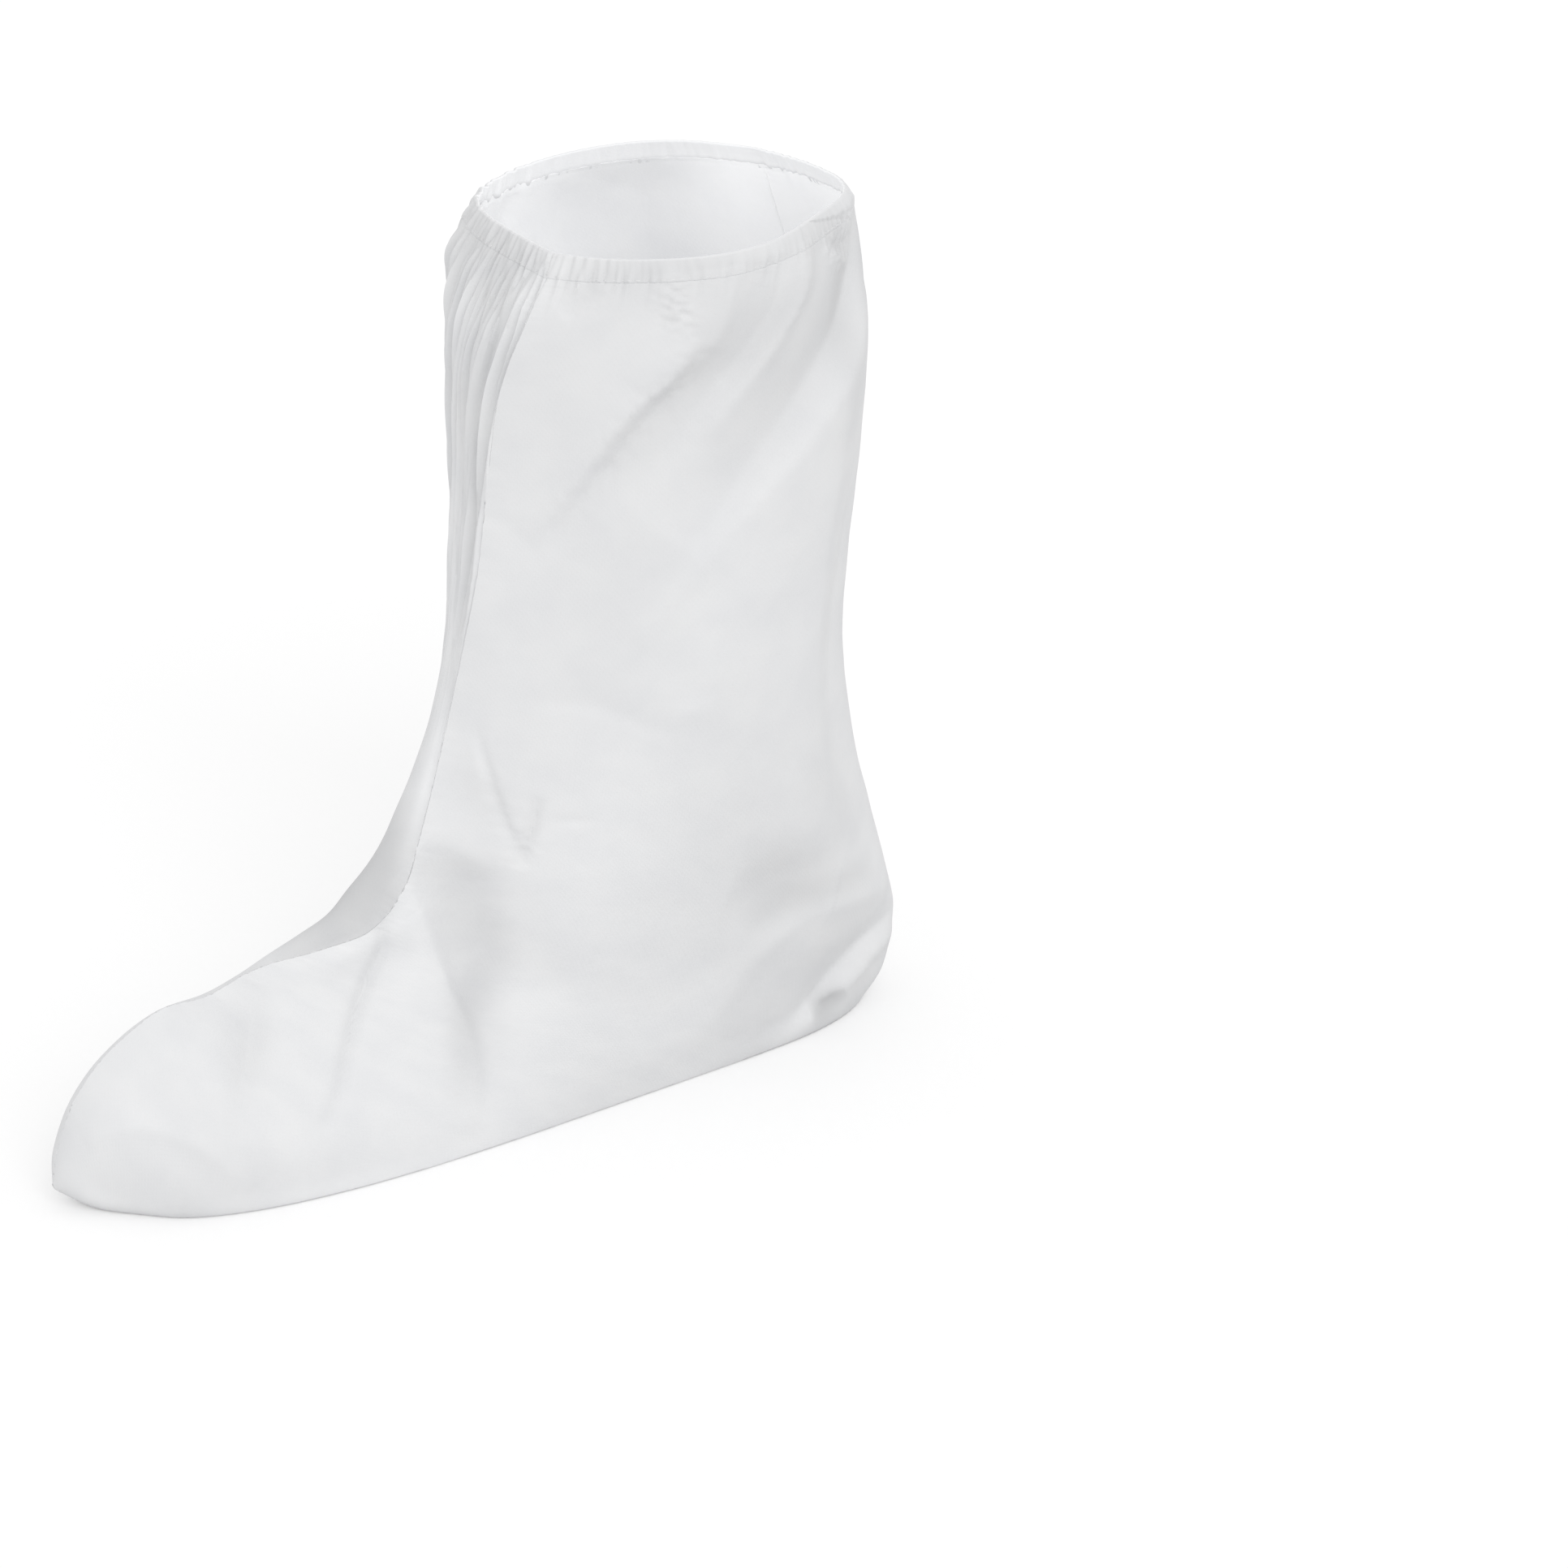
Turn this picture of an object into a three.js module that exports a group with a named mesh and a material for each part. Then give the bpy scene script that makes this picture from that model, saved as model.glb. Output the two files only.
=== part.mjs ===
import * as THREE from 'three';

// A slip-on boot cover of thin white cloth, right foot or left foot alike.
// Millimetres; +X runs to the toe, +Y to the left side, +Z up, the sole lies on z = 0.

// Sizes of the whole cover. The widths are taken at the calf and at the ball of the foot.
const COVER_LENGTH = 376;
const SHAFT_HEIGHT = 351;
const SHAFT_DEPTH = 166;
const SHAFT_WIDTH = 158;
const FOOT_WIDTH = 102;

// The cloth and the way the pieces meet.
const CLOTH_THICKNESS = 1.5;
const PIECE_GAP = 0.3;

// The gathered band round the opening.
const HEM_HEIGHT = 7.7;
const HEM_THICKNESS = 2.4;
const HEM_DRAW_IN = 3.6;

// Gathers under the band: waves across one panel, their height as a share of SHAFT_WIDTH,
// the shares of the way to the toe tip at which they are full and have faded, and the share
// of the height that is left towards the back seam.
const LEFT_GATHERS = {
  waveCount: 7, heightShare: 0.006, fullShare: 0.02, fadeShare: 0.05, backShare: 1,
};
const RIGHT_GATHERS = {
  waveCount: 5, heightShare: 0.014, fullShare: 0.03, fadeShare: 0.15, backShare: 0.15,
};
const HEM_GATHERS = { waveCount: 26, heightShare: 0.003 };
const GATHER_SHARE_AT_HEM = 0.3;
const GATHER_END_SHARE = 0.06;
const GATHER_FRONT_SHARE = 0.22;
const GATHER_BACK_SHARE = 0.42;

// Seam ridge: how wide the pinched cloth is, as an angle round the section, and the angles
// from the front seam at which the cloth beside it is flattest.
const RIDGE_SPREAD = 0.3;
const LEFT_FLAT_TURN = THREE.MathUtils.degToRad(40);
const RIGHT_FLAT_TURN = THREE.MathUtils.degToRad(22);

// How crisp the folds are and how full they stay towards their ends.
const FOLD_CRISPNESS = 1.6;
const FOLD_FULLNESS = 0.8;
const FOLD_PATH_STEPS = 12;

// Facets across each panel and round the hem.
const LEFT_COLUMNS = 30;
const RIGHT_COLUMNS = 20;
const HEM_FACETS_PER_COLUMN = 2;
const TIP_BULGE = 0.4;
const PROBE_STEP = 0.01;

// Sections, fanned from the opening down the shaft, round the heel and along the foot to
// the toe. Each one is an oval hung between the front seam and the back or sole seam.
//   frontX, backX         share of SHAFT_DEPTH on the shaft, of COVER_LENGTH on the foot
//   frontZ, backZ         share of SHAFT_HEIGHT, below nought where the sole presses flat
//   leftHalf, rightHalf   half widths, share of SHAFT_WIDTH or FOOT_WIDTH
//   shiftY                sideways shift, share of SHAFT_WIDTH or FOOT_WIDTH
//   seamTurn              degrees the seams lie round to the left side
//   frontRidge, backRidge height of the pinched seams, share of SHAFT_WIDTH or FOOT_WIDTH
//   soleSpread            how much wider the lower half is than the upper half
//   leftFlat, rightFlat   how far the cloth beside the front seam is flattened, as a share
//   steps                 facet rows down to the next section
const SECTION_COLUMNS = [
  'frontX', 'frontZ', 'backX', 'backZ', 'leftHalf', 'rightHalf', 'shiftY',
  'seamTurn', 'frontRidge', 'backRidge', 'soleSpread', 'leftFlat', 'rightFlat', 'steps',
];
const SHAFT_ROWS = {
  underHem: [1.072, 0.977, 0.145, 1, 0.475, 0.468, 0, 26, 0.013, 0.006, 0, 0.05, 0.03, 2],
  shoulder: [1.108, 0.937, 0.127, 0.954, 0.506, 0.506, 0, 24, 0.019, 0.013, 0, 0.08, 0.05, 4],
  calf: [1.133, 0.863, 0.114, 0.872, 0.513, 0.513, 0, 19, 0.025, 0.013, 0, 0.1, 0.05, 5],
  midShaft: [1.133, 0.746, 0.12, 0.746, 0.506, 0.506, 0, 14, 0.025, 0.013, 0, 0.1, 0.05, 4],
  lowShaft: [1.133, 0.641, 0.133, 0.613, 0.494, 0.487, 0, 9, 0.025, 0.013, 0, 0.1, 0.05, 3],
  narrow: [1.151, 0.541, 0.145, 0.49, 0.475, 0.456, 0, 4, 0.025, 0.013, 0, 0.09, 0.05, 2],
  ankleTop: [1.187, 0.462, 0.12, 0.37, 0.443, 0.424, 0, 3, 0.025, 0.013, 0, 0.08, 0.03, 2],
};
const FOOT_ROWS = {
  ankle: [0.551, 0.402, 0.029, 0.262, 0.627, 0.608, 0, 8, 0.039, 0.02, 0.05, 0.07, 0.02, 2],
  heelTop: [0.585, 0.348, 0.005, 0.177, 0.569, 0.559, 0, 15, 0.039, 0.02, 0.1, 0.07, 0.02, 2],
  heelBack: [0.62, 0.308, -0.011, 0.103, 0.51, 0.51, 0, 22, 0.039, 0.02, 0.15, 0.07, 0.02, 2],
  heelLow: [0.654, 0.279, 0.008, 0.023, 0.451, 0.461, 0, 26, 0.039, 0.02, 0.2, 0.07, 0.03, 2],
  heelSole: [0.686, 0.259, 0.066, -0.046, 0.422, 0.422, 0, 26, 0.029, 0.01, 0.3, 0.07, 0.05, 2],
  archBack: [0.721, 0.242, 0.186, -0.068, 0.441, 0.441, 0, 20, 0.029, 0, 0.34, 0.06, 0.05, 2],
  archFront: [0.755, 0.228, 0.306, -0.074, 0.471, 0.461, 0, 12, 0.029, 0, 0.32, 0.06, 0.05, 2],
  ballBack: [0.79, 0.217, 0.452, -0.08, 0.5, 0.49, 0.01, 5, 0.029, 0, 0.3, 0.06, 0.05, 2],
  ballFront: [0.824, 0.205, 0.598, -0.08, 0.51, 0.49, 0.029, 2, 0.029, 0, 0.3, 0.05, 0.04, 2],
  toeBack: [0.864, 0.191, 0.713, -0.074, 0.49, 0.461, 0.049, 0, 0.029, 0, 0.32, 0.05, 0.04, 2],
  toeMiddle: [0.907, 0.171, 0.806, -0.063, 0.431, 0.392, 0.069, 0, 0.02, 0, 0.34, 0.04, 0.03, 2],
  toeFront: [0.944, 0.142, 0.872, -0.046, 0.353, 0.304, 0.078, 0, 0.02, 0, 0.3, 0.03, 0.02, 2],
  toeRound: [0.973, 0.105, 0.92, -0.023, 0.255, 0.216, 0.078, 0, 0.01, 0, 0.2, 0.02, 0.01, 2],
  toeEnd: [0.992, 0.063, 0.963, -0.004, 0.137, 0.118, 0.078, 0, 0, 0, 0.1, 0, 0, 2],
  toeTip: [0.999, 0.031, 0.997, 0.023, 0.01, 0.01, 0.078, 0, 0, 0, 0, 0, 0, 0],
};

// Folds and dents, each along a line laid on the cover.
//   fromAlong, toAlong    share of the way from the opening to the toe tip
//   fromTurn, toTurn      share of the way from the front seam to the back seam by the left
//   bow                   how far the line bows to the lower side, share of SHAFT_WIDTH
//   lift                  height, below nought for a dent, share of SHAFT_WIDTH
//   upperWide, lowerWide  how wide it is on each side of the line, share of SHAFT_WIDTH
//   peak                  where along the line it is highest
const FOLD_COLUMNS = [
  'fromAlong', 'fromTurn', 'toAlong', 'toTurn', 'bow', 'lift', 'upperWide', 'lowerWide', 'peak',
];
const FOLD_ROWS = {
  shaftCrestHigh: [0, 0.4, 0.083, 0.26, 0, 0.032, 0.165, 0.063, 0.6],
  shaftCrestLow: [0.062, 0.285, 0.172, 0.1, 0, 0.041, 0.152, 0.051, 0.3],
  shaftValley: [0, 0.44, 0.162, 0.16, 0.019, -0.032, 0.065, 0.085, 0.45],
  middleCrest: [0, 0.52, 0.125, 0.32, 0.013, 0.022, 0.06, 0.06, 0.35],
  middleValley: [0.005, 0.57, 0.183, 0.3, 0.019, -0.048, 0.082, 0.082, 0.4],
  backCrest: [0.057, 0.6, 0.235, 0.28, 0.013, 0.025, 0.07, 0.152, 0.4],
  backEdge: [0.078, 0.57, 0.35, 0.6, 0, 0.02, 0.139, 0.082, 0.5],
  backStrip: [0.12, 0.68, 0.371, 0.72, 0, -0.019, 0.076, 0.076, 0.5],
  anklePleat: [0.277, 0.06, 0.387, 0.17, 0, -0.019, 0.057, 0.032, 0.7],
  instepDentTop: [0.403, 0, 0.45, 0.15, 0, -0.045, 0.045, 0.082, 0.7],
  instepDentLow: [0.434, 0.12, 0.612, 0.32, -0.019, -0.06, 0.05, 0.108, 0.25],
  instepDentMiddle: [0.434, 0.14, 0.55, 0.25, 0, -0.038, 0.07, 0.076, 0.3],
  instepBulge: [0.466, 0.06, 0.633, 0.26, 0, 0.032, 0.051, 0.057, 0.4],
  vampCreaseTop: [0.502, 0.005, 0.607, 0.17, 0, -0.028, 0.038, 0.032, 0.6],
  vampCreaseLow: [0.57, 0.12, 0.77, 0.52, 0, -0.022, 0.063, 0.032, 0.25],
  vampCrest: [0.55, 0.04, 0.707, 0.06, 0, 0.016, 0.057, 0.063, 0.5],
  vampSide: [0.707, 0.09, 0.79, 0.42, 0, -0.016, 0.063, 0.051, 0.4],
  toeLine: [0.801, 0.3, 0.822, 0.58, 0, 0.008, 0.032, 0.032, 0.5],
  heelHollow: [0.356, 0.44, 0.382, 0.62, 0, -0.038, 0.114, 0.063, 0.5],
  heelCrestBack: [0.416, 0.8, 0.429, 0.5, 0.025, 0.025, 0.055, 0.05, 0.35],
  heelCrestFront: [0.426, 0.53, 0.56, 0.46, 0, 0.022, 0.076, 0.038, 0.3],
  heelValleyBack: [0.434, 0.74, 0.471, 0.5, 0, -0.03, 0.045, 0.06, 0.5],
  heelValleyFront: [0.46, 0.54, 0.56, 0.49, 0, -0.032, 0.044, 0.063, 0.3],
  heelCorner: [0.445, 0.78, 0.5, 0.6, 0.013, 0.018, 0.05, 0.05, 0.5],
  heelNotch: [0.476, 0.62, 0.508, 0.57, 0, -0.022, 0.05, 0.05, 0.5],
};

const CLOTH_WHITE = 0xeff0f0;
const HEM_WHITE = 0xe9eaeb;

// Names the values of a table row after the table's columns.
function readRow(columns, values) {
  const row = {};
  columns.forEach((column, index) => {
    row[column] = values[index];
  });
  return row;
}

// A section row in millimetres, from its shares of a depth or length and of a width.
function measureSection(values, depth, width) {
  const row = readRow(SECTION_COLUMNS, values);
  ['frontX', 'backX'].forEach((column) => {
    row[column] *= depth;
  });
  ['frontZ', 'backZ'].forEach((column) => {
    row[column] *= SHAFT_HEIGHT;
  });
  ['leftHalf', 'rightHalf', 'shiftY', 'frontRidge', 'backRidge'].forEach((column) => {
    row[column] *= width;
  });
  return row;
}

const SECTIONS = [
  ...Object.values(SHAFT_ROWS).map((values) => measureSection(values, SHAFT_DEPTH, SHAFT_WIDTH)),
  ...Object.values(FOOT_ROWS).map((values) => measureSection(values, COVER_LENGTH, FOOT_WIDTH)),
];
const FOLDS = Object.values(FOLD_ROWS).map((values) => readRow(FOLD_COLUMNS, values));
const LAST_SECTION = SECTIONS.length - 1;

// Runs a smooth curve through four table values.
function smoothBetween(before, start, end, after, share) {
  const slope = end - before;
  const bend = 2 * before - 5 * start + 4 * end - after;
  const twist = 3 * start - before - 3 * end + after;
  return 0.5 * (2 * start + slope * share + bend * share ** 2 + twist * share ** 3);
}

// The section at any place between two rows of the table.
function sectionAt(place) {
  const index = Math.min(Math.max(Math.floor(place), 0), LAST_SECTION - 1);
  const before = SECTIONS[Math.max(index - 1, 0)];
  const start = SECTIONS[index];
  const end = SECTIONS[index + 1];
  const after = SECTIONS[Math.min(index + 2, LAST_SECTION)];
  const section = {};
  SECTION_COLUMNS.forEach((column) => {
    const share = place - index;
    section[column] = smoothBetween(before[column], start[column], end[column], after[column], share);
  });
  return section;
}

// How far the seam at the given turn is pinched out, with turn 0 the front and PI the back.
function seamRidge(section, turn) {
  const fromFront = Math.min(turn, 2 * Math.PI - turn);
  const fromBack = Math.abs(turn - Math.PI);
  const front = section.frontRidge * Math.exp(-fromFront / RIDGE_SPREAD);
  const back = section.backRidge * Math.exp(-fromBack / RIDGE_SPREAD);
  return front + back;
}

// How much of the section's size is left at the given turn beside the front seam.
function flattening(section, turn) {
  const onLeft = turn <= Math.PI;
  const fromSeam = onLeft ? turn / LEFT_FLAT_TURN : (2 * Math.PI - turn) / RIGHT_FLAT_TURN;
  const flat = onLeft ? section.leftFlat : section.rightFlat;
  return 1 - flat * fromSeam * Math.exp(1 - fromSeam);
}

// A point of the cover before folds, with the sole pressed flat on the floor.
function plainPoint(place, turn) {
  const section = sectionAt(place);
  const front = new THREE.Vector3(section.frontX, 0, section.frontZ);
  const back = new THREE.Vector3(section.backX, 0, section.backZ);
  const halfDepth = front.distanceTo(back) / 2;
  const forward = front.clone().sub(back).normalize();
  const around = turn + THREE.MathUtils.degToRad(section.seamTurn);
  const ahead = Math.cos(around);
  const aside = Math.sin(around);
  const halfWidth = aside >= 0 ? section.leftHalf : section.rightHalf;
  const wholeTurn = THREE.MathUtils.euclideanModulo(turn, 2 * Math.PI);
  const ridge = seamRidge(section, wholeTurn);
  const kept = flattening(section, wholeTurn);
  const point = front.add(back).multiplyScalar(0.5);
  point.addScaledVector(forward, (halfDepth + ridge) * ahead * kept);
  point.y = section.shiftY;
  point.y += (halfWidth * (1 - section.soleSpread * ahead) + ridge) * aside * kept;
  point.z = Math.max(point.z, 0);
  return point;
}

// The direction straight out of the cloth before folds.
function plainOutward(place, turn) {
  const above = Math.max(place - PROBE_STEP, 0);
  const below = Math.min(place + PROBE_STEP, LAST_SECTION);
  const down = plainPoint(below, turn).sub(plainPoint(above, turn));
  const round = plainPoint(place, turn + PROBE_STEP).sub(plainPoint(place, turn - PROBE_STEP));
  return down.cross(round).normalize();
}

// Lays a fold's line on the plain cover, with the direction of its lower side at each point.
function layFold(fold) {
  const points = [];
  const outwards = [];
  for (let step = 0; step <= FOLD_PATH_STEPS; step += 1) {
    const share = step / FOLD_PATH_STEPS;
    const place = THREE.MathUtils.lerp(fold.fromAlong, fold.toAlong, share) * LAST_SECTION;
    const turn = THREE.MathUtils.lerp(fold.fromTurn, fold.toTurn, share) * Math.PI;
    points.push(plainPoint(place, turn));
    outwards.push(plainOutward(place, turn));
  }
  const chord = points[FOLD_PATH_STEPS].clone().sub(points[0]);
  const middleOutward = outwards[FOLD_PATH_STEPS / 2];
  const lowerSide = middleOutward.clone().cross(chord).normalize();
  points.forEach((point, step) => {
    const bow = Math.sin((Math.PI * step) / FOLD_PATH_STEPS) * fold.bow * SHAFT_WIDTH;
    point.addScaledVector(lowerSide, bow);
  });
  return { fold, points, outwards };
}

// The nearest place on a fold's line: its distance, the share of the way along, and the side,
// from 0 square above the line to 1 square below it.
function nearestOnFold(laid, point) {
  const nearest = { distance: Infinity, side: 0, share: 0 };
  for (let step = 0; step < FOLD_PATH_STEPS; step += 1) {
    const stride = laid.points[step + 1].clone().sub(laid.points[step]);
    const offset = point.clone().sub(laid.points[step]);
    const reach = THREE.MathUtils.clamp(offset.dot(stride) / stride.lengthSq(), 0, 1);
    const lowerSide = laid.outwards[step].clone().cross(stride).normalize();
    offset.addScaledVector(stride, -reach);
    if (offset.length() < nearest.distance) {
      nearest.distance = offset.length();
      nearest.side = 0.5 + 0.5 * offset.normalize().dot(lowerSide);
      nearest.share = (step + reach) / FOLD_PATH_STEPS;
    }
  }
  return nearest;
}

// How far one fold lifts the cloth at a point.
function foldLift(laid, point) {
  const { fold } = laid;
  const nearest = nearestOnFold(laid, point);
  const below = THREE.MathUtils.smoothstep(nearest.side, 0, 1);
  const wide = THREE.MathUtils.lerp(fold.upperWide, fold.lowerWide, below) * SHAFT_WIDTH;
  const rising = nearest.share / fold.peak;
  const falling = (1 - nearest.share) / (1 - fold.peak);
  const growth = Math.sin((Math.min(rising, falling) * Math.PI) / 2) ** FOLD_FULLNESS;
  const profile = Math.exp(-((nearest.distance / wide) ** FOLD_CRISPNESS));
  return fold.lift * SHAFT_WIDTH * growth * profile;
}

// How far the gathers lift the cloth; they run out before the seams.
function gatherLift(place, turn) {
  const onLeft = turn <= Math.PI;
  const across = (onLeft ? turn : 2 * Math.PI - turn) / Math.PI;
  const gathers = onLeft ? LEFT_GATHERS : RIGHT_GATHERS;
  const along = place / LAST_SECTION;
  const fromSeam = Math.min(across, 1 - across);
  const ends = THREE.MathUtils.smoothstep(fromSeam, 0, GATHER_END_SHARE);
  const rise = THREE.MathUtils.smoothstep(along, 0, gathers.fullShare);
  const swell = THREE.MathUtils.lerp(GATHER_SHARE_AT_HEM, 1, rise);
  const fade = Math.exp(-((along / gathers.fadeShare) ** 2));
  const toBack = THREE.MathUtils.smoothstep(across, GATHER_FRONT_SHARE, GATHER_BACK_SHARE);
  const height = gathers.heightShare * THREE.MathUtils.lerp(1, gathers.backShare, toBack);
  const wave = Math.cos(2 * Math.PI * gathers.waveCount * across);
  return height * SHAFT_WIDTH * swell * fade * ends * wave;
}

const LAID_FOLDS = FOLDS.map(layFold);

// A point of the outside of the cover with its folds and gathers.
function coverPoint(place, turn) {
  const point = plainPoint(place, turn);
  if (point.z === 0) {
    return point;
  }
  let lift = gatherLift(place, turn);
  LAID_FOLDS.forEach((laid) => {
    lift += foldLift(laid, point);
  });
  point.addScaledVector(plainOutward(place, turn), lift);
  point.z = Math.max(point.z, 0);
  return point;
}

// The places of the facet rows, from the opening to the toe tip.
function rowPlaces() {
  const places = [];
  SECTIONS.forEach((section, index) => {
    for (let step = 0; step < section.steps; step += 1) {
      places.push(index + step / section.steps);
    }
  });
  places.push(LAST_SECTION);
  return places;
}

// The turns of the facet columns once round, starting at the front seam by the left side.
function columnTurns(leftColumns, rightColumns) {
  const turns = [];
  for (let column = 0; column < leftColumns; column += 1) {
    turns.push((Math.PI * column) / leftColumns);
  }
  for (let column = 0; column < rightColumns; column += 1) {
    turns.push(Math.PI + (Math.PI * column) / rightColumns);
  }
  return turns;
}

// The direction out of a closed grid of points at each of them, and at the tip beyond it.
function gridOutwards(rows, tip) {
  const columns = rows[0].length;
  return rows.map((points, row) => points.map((point, column) => {
    const above = rows[Math.max(row - 1, 0)][column];
    const below = row + 1 < rows.length ? rows[row + 1][column] : tip;
    const left = points[(column + columns - 1) % columns];
    const right = points[(column + 1) % columns];
    const quarters = [[above, right], [right, below], [below, left], [left, above]];
    const outward = new THREE.Vector3();
    quarters.forEach(([first, second]) => {
      const corner = first.clone().sub(point).cross(second.clone().sub(point));
      outward.sub(corner.normalize());
    });
    return outward.normalize();
  }));
}

// The outside and the inside of the whole cover as two grids that match point for point.
function coverGrids() {
  const places = rowPlaces();
  const turns = columnTurns(LEFT_COLUMNS, RIGHT_COLUMNS);
  const outer = places.map((place) => turns.map((turn) => coverPoint(place, turn)));
  const lastRow = outer[outer.length - 1];
  const outerTip = new THREE.Vector3();
  lastRow.forEach((point) => outerTip.addScaledVector(point, 1 / lastRow.length));
  outerTip.x += TIP_BULGE;
  const outwards = gridOutwards(outer, outerTip);
  const inner = outer.map((points, row) => points.map((point, column) => {
    const inside = point.clone().addScaledVector(outwards[row][column], -CLOTH_THICKNESS);
    inside.z = Math.max(inside.z, CLOTH_THICKNESS);
    return inside;
  }));
  const innerTip = outerTip.clone();
  innerTip.x -= CLOTH_THICKNESS;
  return { outer, inner, outerTip, innerTip, outwards };
}

// How far a panel's edge keeps back from the seam, square to the seam and along the cloth.
function seamKeepBack(grids, row, column) {
  const above = grids.outer[Math.max(row - 1, 0)][column];
  const below = grids.outer[Math.min(row + 1, grids.outer.length - 1)][column];
  const keepBack = below.clone().sub(above).cross(grids.outwards[row][column]).normalize();
  return keepBack.multiplyScalar(PIECE_GAP / 2);
}

// A list of points and triangles that grows into a closed mesh.
class Shell {
  constructor() {
    this.points = [];
    this.triangles = [];
  }

  add(point) {
    this.points.push(point.x, point.y, point.z);
    return this.points.length / 3 - 1;
  }

  triangle(first, second, third) {
    this.triangles.push(first, second, third);
  }

  quad(first, second, third, fourth) {
    this.triangle(first, second, third);
    this.triangle(first, third, fourth);
  }

  geometry() {
    const geometry = new THREE.BufferGeometry();
    geometry.setAttribute('position', new THREE.Float32BufferAttribute(this.points, 3));
    geometry.setIndex(this.triangles);
    geometry.computeVertexNormals();
    return geometry;
  }
}

// Adds a panel's share of one grid, kept back from both seams, and returns the indices.
function addPanelGrid(shell, grids, layer, columns) {
  const last = columns.length - 1;
  return grids[layer].map((points, row) => columns.map((column, index) => {
    const point = points[column].clone();
    if (index === 0) {
      point.sub(seamKeepBack(grids, row, column));
    }
    if (index === last) {
      point.add(seamKeepBack(grids, row, column));
    }
    point.z = Math.max(point.z, 0);
    return shell.add(point);
  }));
}

// One side panel: the outside, the inside, the edge at the top and the edges along the seams.
function panelGeometry(grids, columns, sideSign) {
  const shell = new Shell();
  const outer = addPanelGrid(shell, grids, 'outer', columns);
  const inner = addPanelGrid(shell, grids, 'inner', columns);
  const keepBack = new THREE.Vector3(0, (sideSign * PIECE_GAP) / 2, 0);
  const outerTip = shell.add(grids.outerTip.clone().add(keepBack));
  const innerTip = shell.add(grids.innerTip.clone().add(keepBack));
  const lastRow = outer.length - 1;
  const lastColumn = columns.length - 1;
  for (let row = 0; row < lastRow; row += 1) {
    for (let column = 0; column < lastColumn; column += 1) {
      const next = column + 1;
      shell.quad(outer[row][column], outer[row + 1][column], outer[row + 1][next], outer[row][next]);
      shell.quad(inner[row][column], inner[row][next], inner[row + 1][next], inner[row + 1][column]);
    }
    shell.quad(outer[row][0], inner[row][0], inner[row + 1][0], outer[row + 1][0]);
    shell.quad(
      outer[row][lastColumn], outer[row + 1][lastColumn],
      inner[row + 1][lastColumn], inner[row][lastColumn],
    );
  }
  for (let column = 0; column < lastColumn; column += 1) {
    const next = column + 1;
    shell.quad(outer[0][column], outer[0][next], inner[0][next], inner[0][column]);
    shell.triangle(outer[lastRow][column], outerTip, outer[lastRow][next]);
    shell.triangle(inner[lastRow][column], inner[lastRow][next], innerTip);
  }
  shell.quad(outer[lastRow][0], inner[lastRow][0], innerTip, outerTip);
  shell.quad(outer[lastRow][lastColumn], outerTip, innerTip, inner[lastRow][lastColumn]);
  return shell.geometry();
}

// The outline of the hem's cross-section: height and depth as shares of its own sizes.
const HEM_OUTLINE = [
  { heightShare: 0, depthShare: 0 },
  { heightShare: 0.5, depthShare: -0.08 },
  { heightShare: 0.9, depthShare: 0.12 },
  { heightShare: 1, depthShare: 0.5 },
  { heightShare: 0.9, depthShare: 0.88 },
  { heightShare: 0, depthShare: 1 },
];

// The gathered band that stands on the top edges of both panels.
function hemGeometry() {
  const shell = new Shell();
  const turns = columnTurns(
    LEFT_COLUMNS * HEM_FACETS_PER_COLUMN, RIGHT_COLUMNS * HEM_FACETS_PER_COLUMN,
  );
  const centre = plainPoint(0, 0).add(plainPoint(0, Math.PI)).multiplyScalar(0.5);
  const rings = turns.map((turn) => {
    const foot = coverPoint(0, turn);
    const outward = foot.clone().sub(centre).setZ(0).normalize();
    const wave = Math.cos(HEM_GATHERS.waveCount * turn) * HEM_GATHERS.heightShare * SHAFT_WIDTH;
    return HEM_OUTLINE.map((corner) => {
      const point = foot.clone();
      const inset = corner.heightShare ** 2 * HEM_DRAW_IN + corner.depthShare * HEM_THICKNESS;
      point.addScaledVector(outward, corner.heightShare * wave - inset);
      point.z += PIECE_GAP + corner.heightShare * HEM_HEIGHT;
      return shell.add(point);
    });
  });
  rings.forEach((ring, index) => {
    const nextRing = rings[(index + 1) % rings.length];
    ring.forEach((point, corner) => {
      const next = (corner + 1) % ring.length;
      shell.quad(point, nextRing[corner], nextRing[next], ring[next]);
    });
  });
  return shell.geometry();
}

// Cloth in the given white.
function clothMaterial(name, colour) {
  return new THREE.MeshStandardMaterial({ name, color: colour, roughness: 0.85, metalness: 0 });
}

// A named mesh of the cover.
function piece(name, geometry, material) {
  const mesh = new THREE.Mesh(geometry, material);
  mesh.name = name;
  return mesh;
}

// Moves all pieces together so that the sole's middle lies over the origin.
function centreOverOrigin(group) {
  const box = new THREE.Box3().setFromObject(group);
  const middle = box.getCenter(new THREE.Vector3());
  group.children.forEach((mesh) => {
    mesh.geometry.translate(-middle.x, -middle.y, -box.min.z);
  });
}

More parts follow.
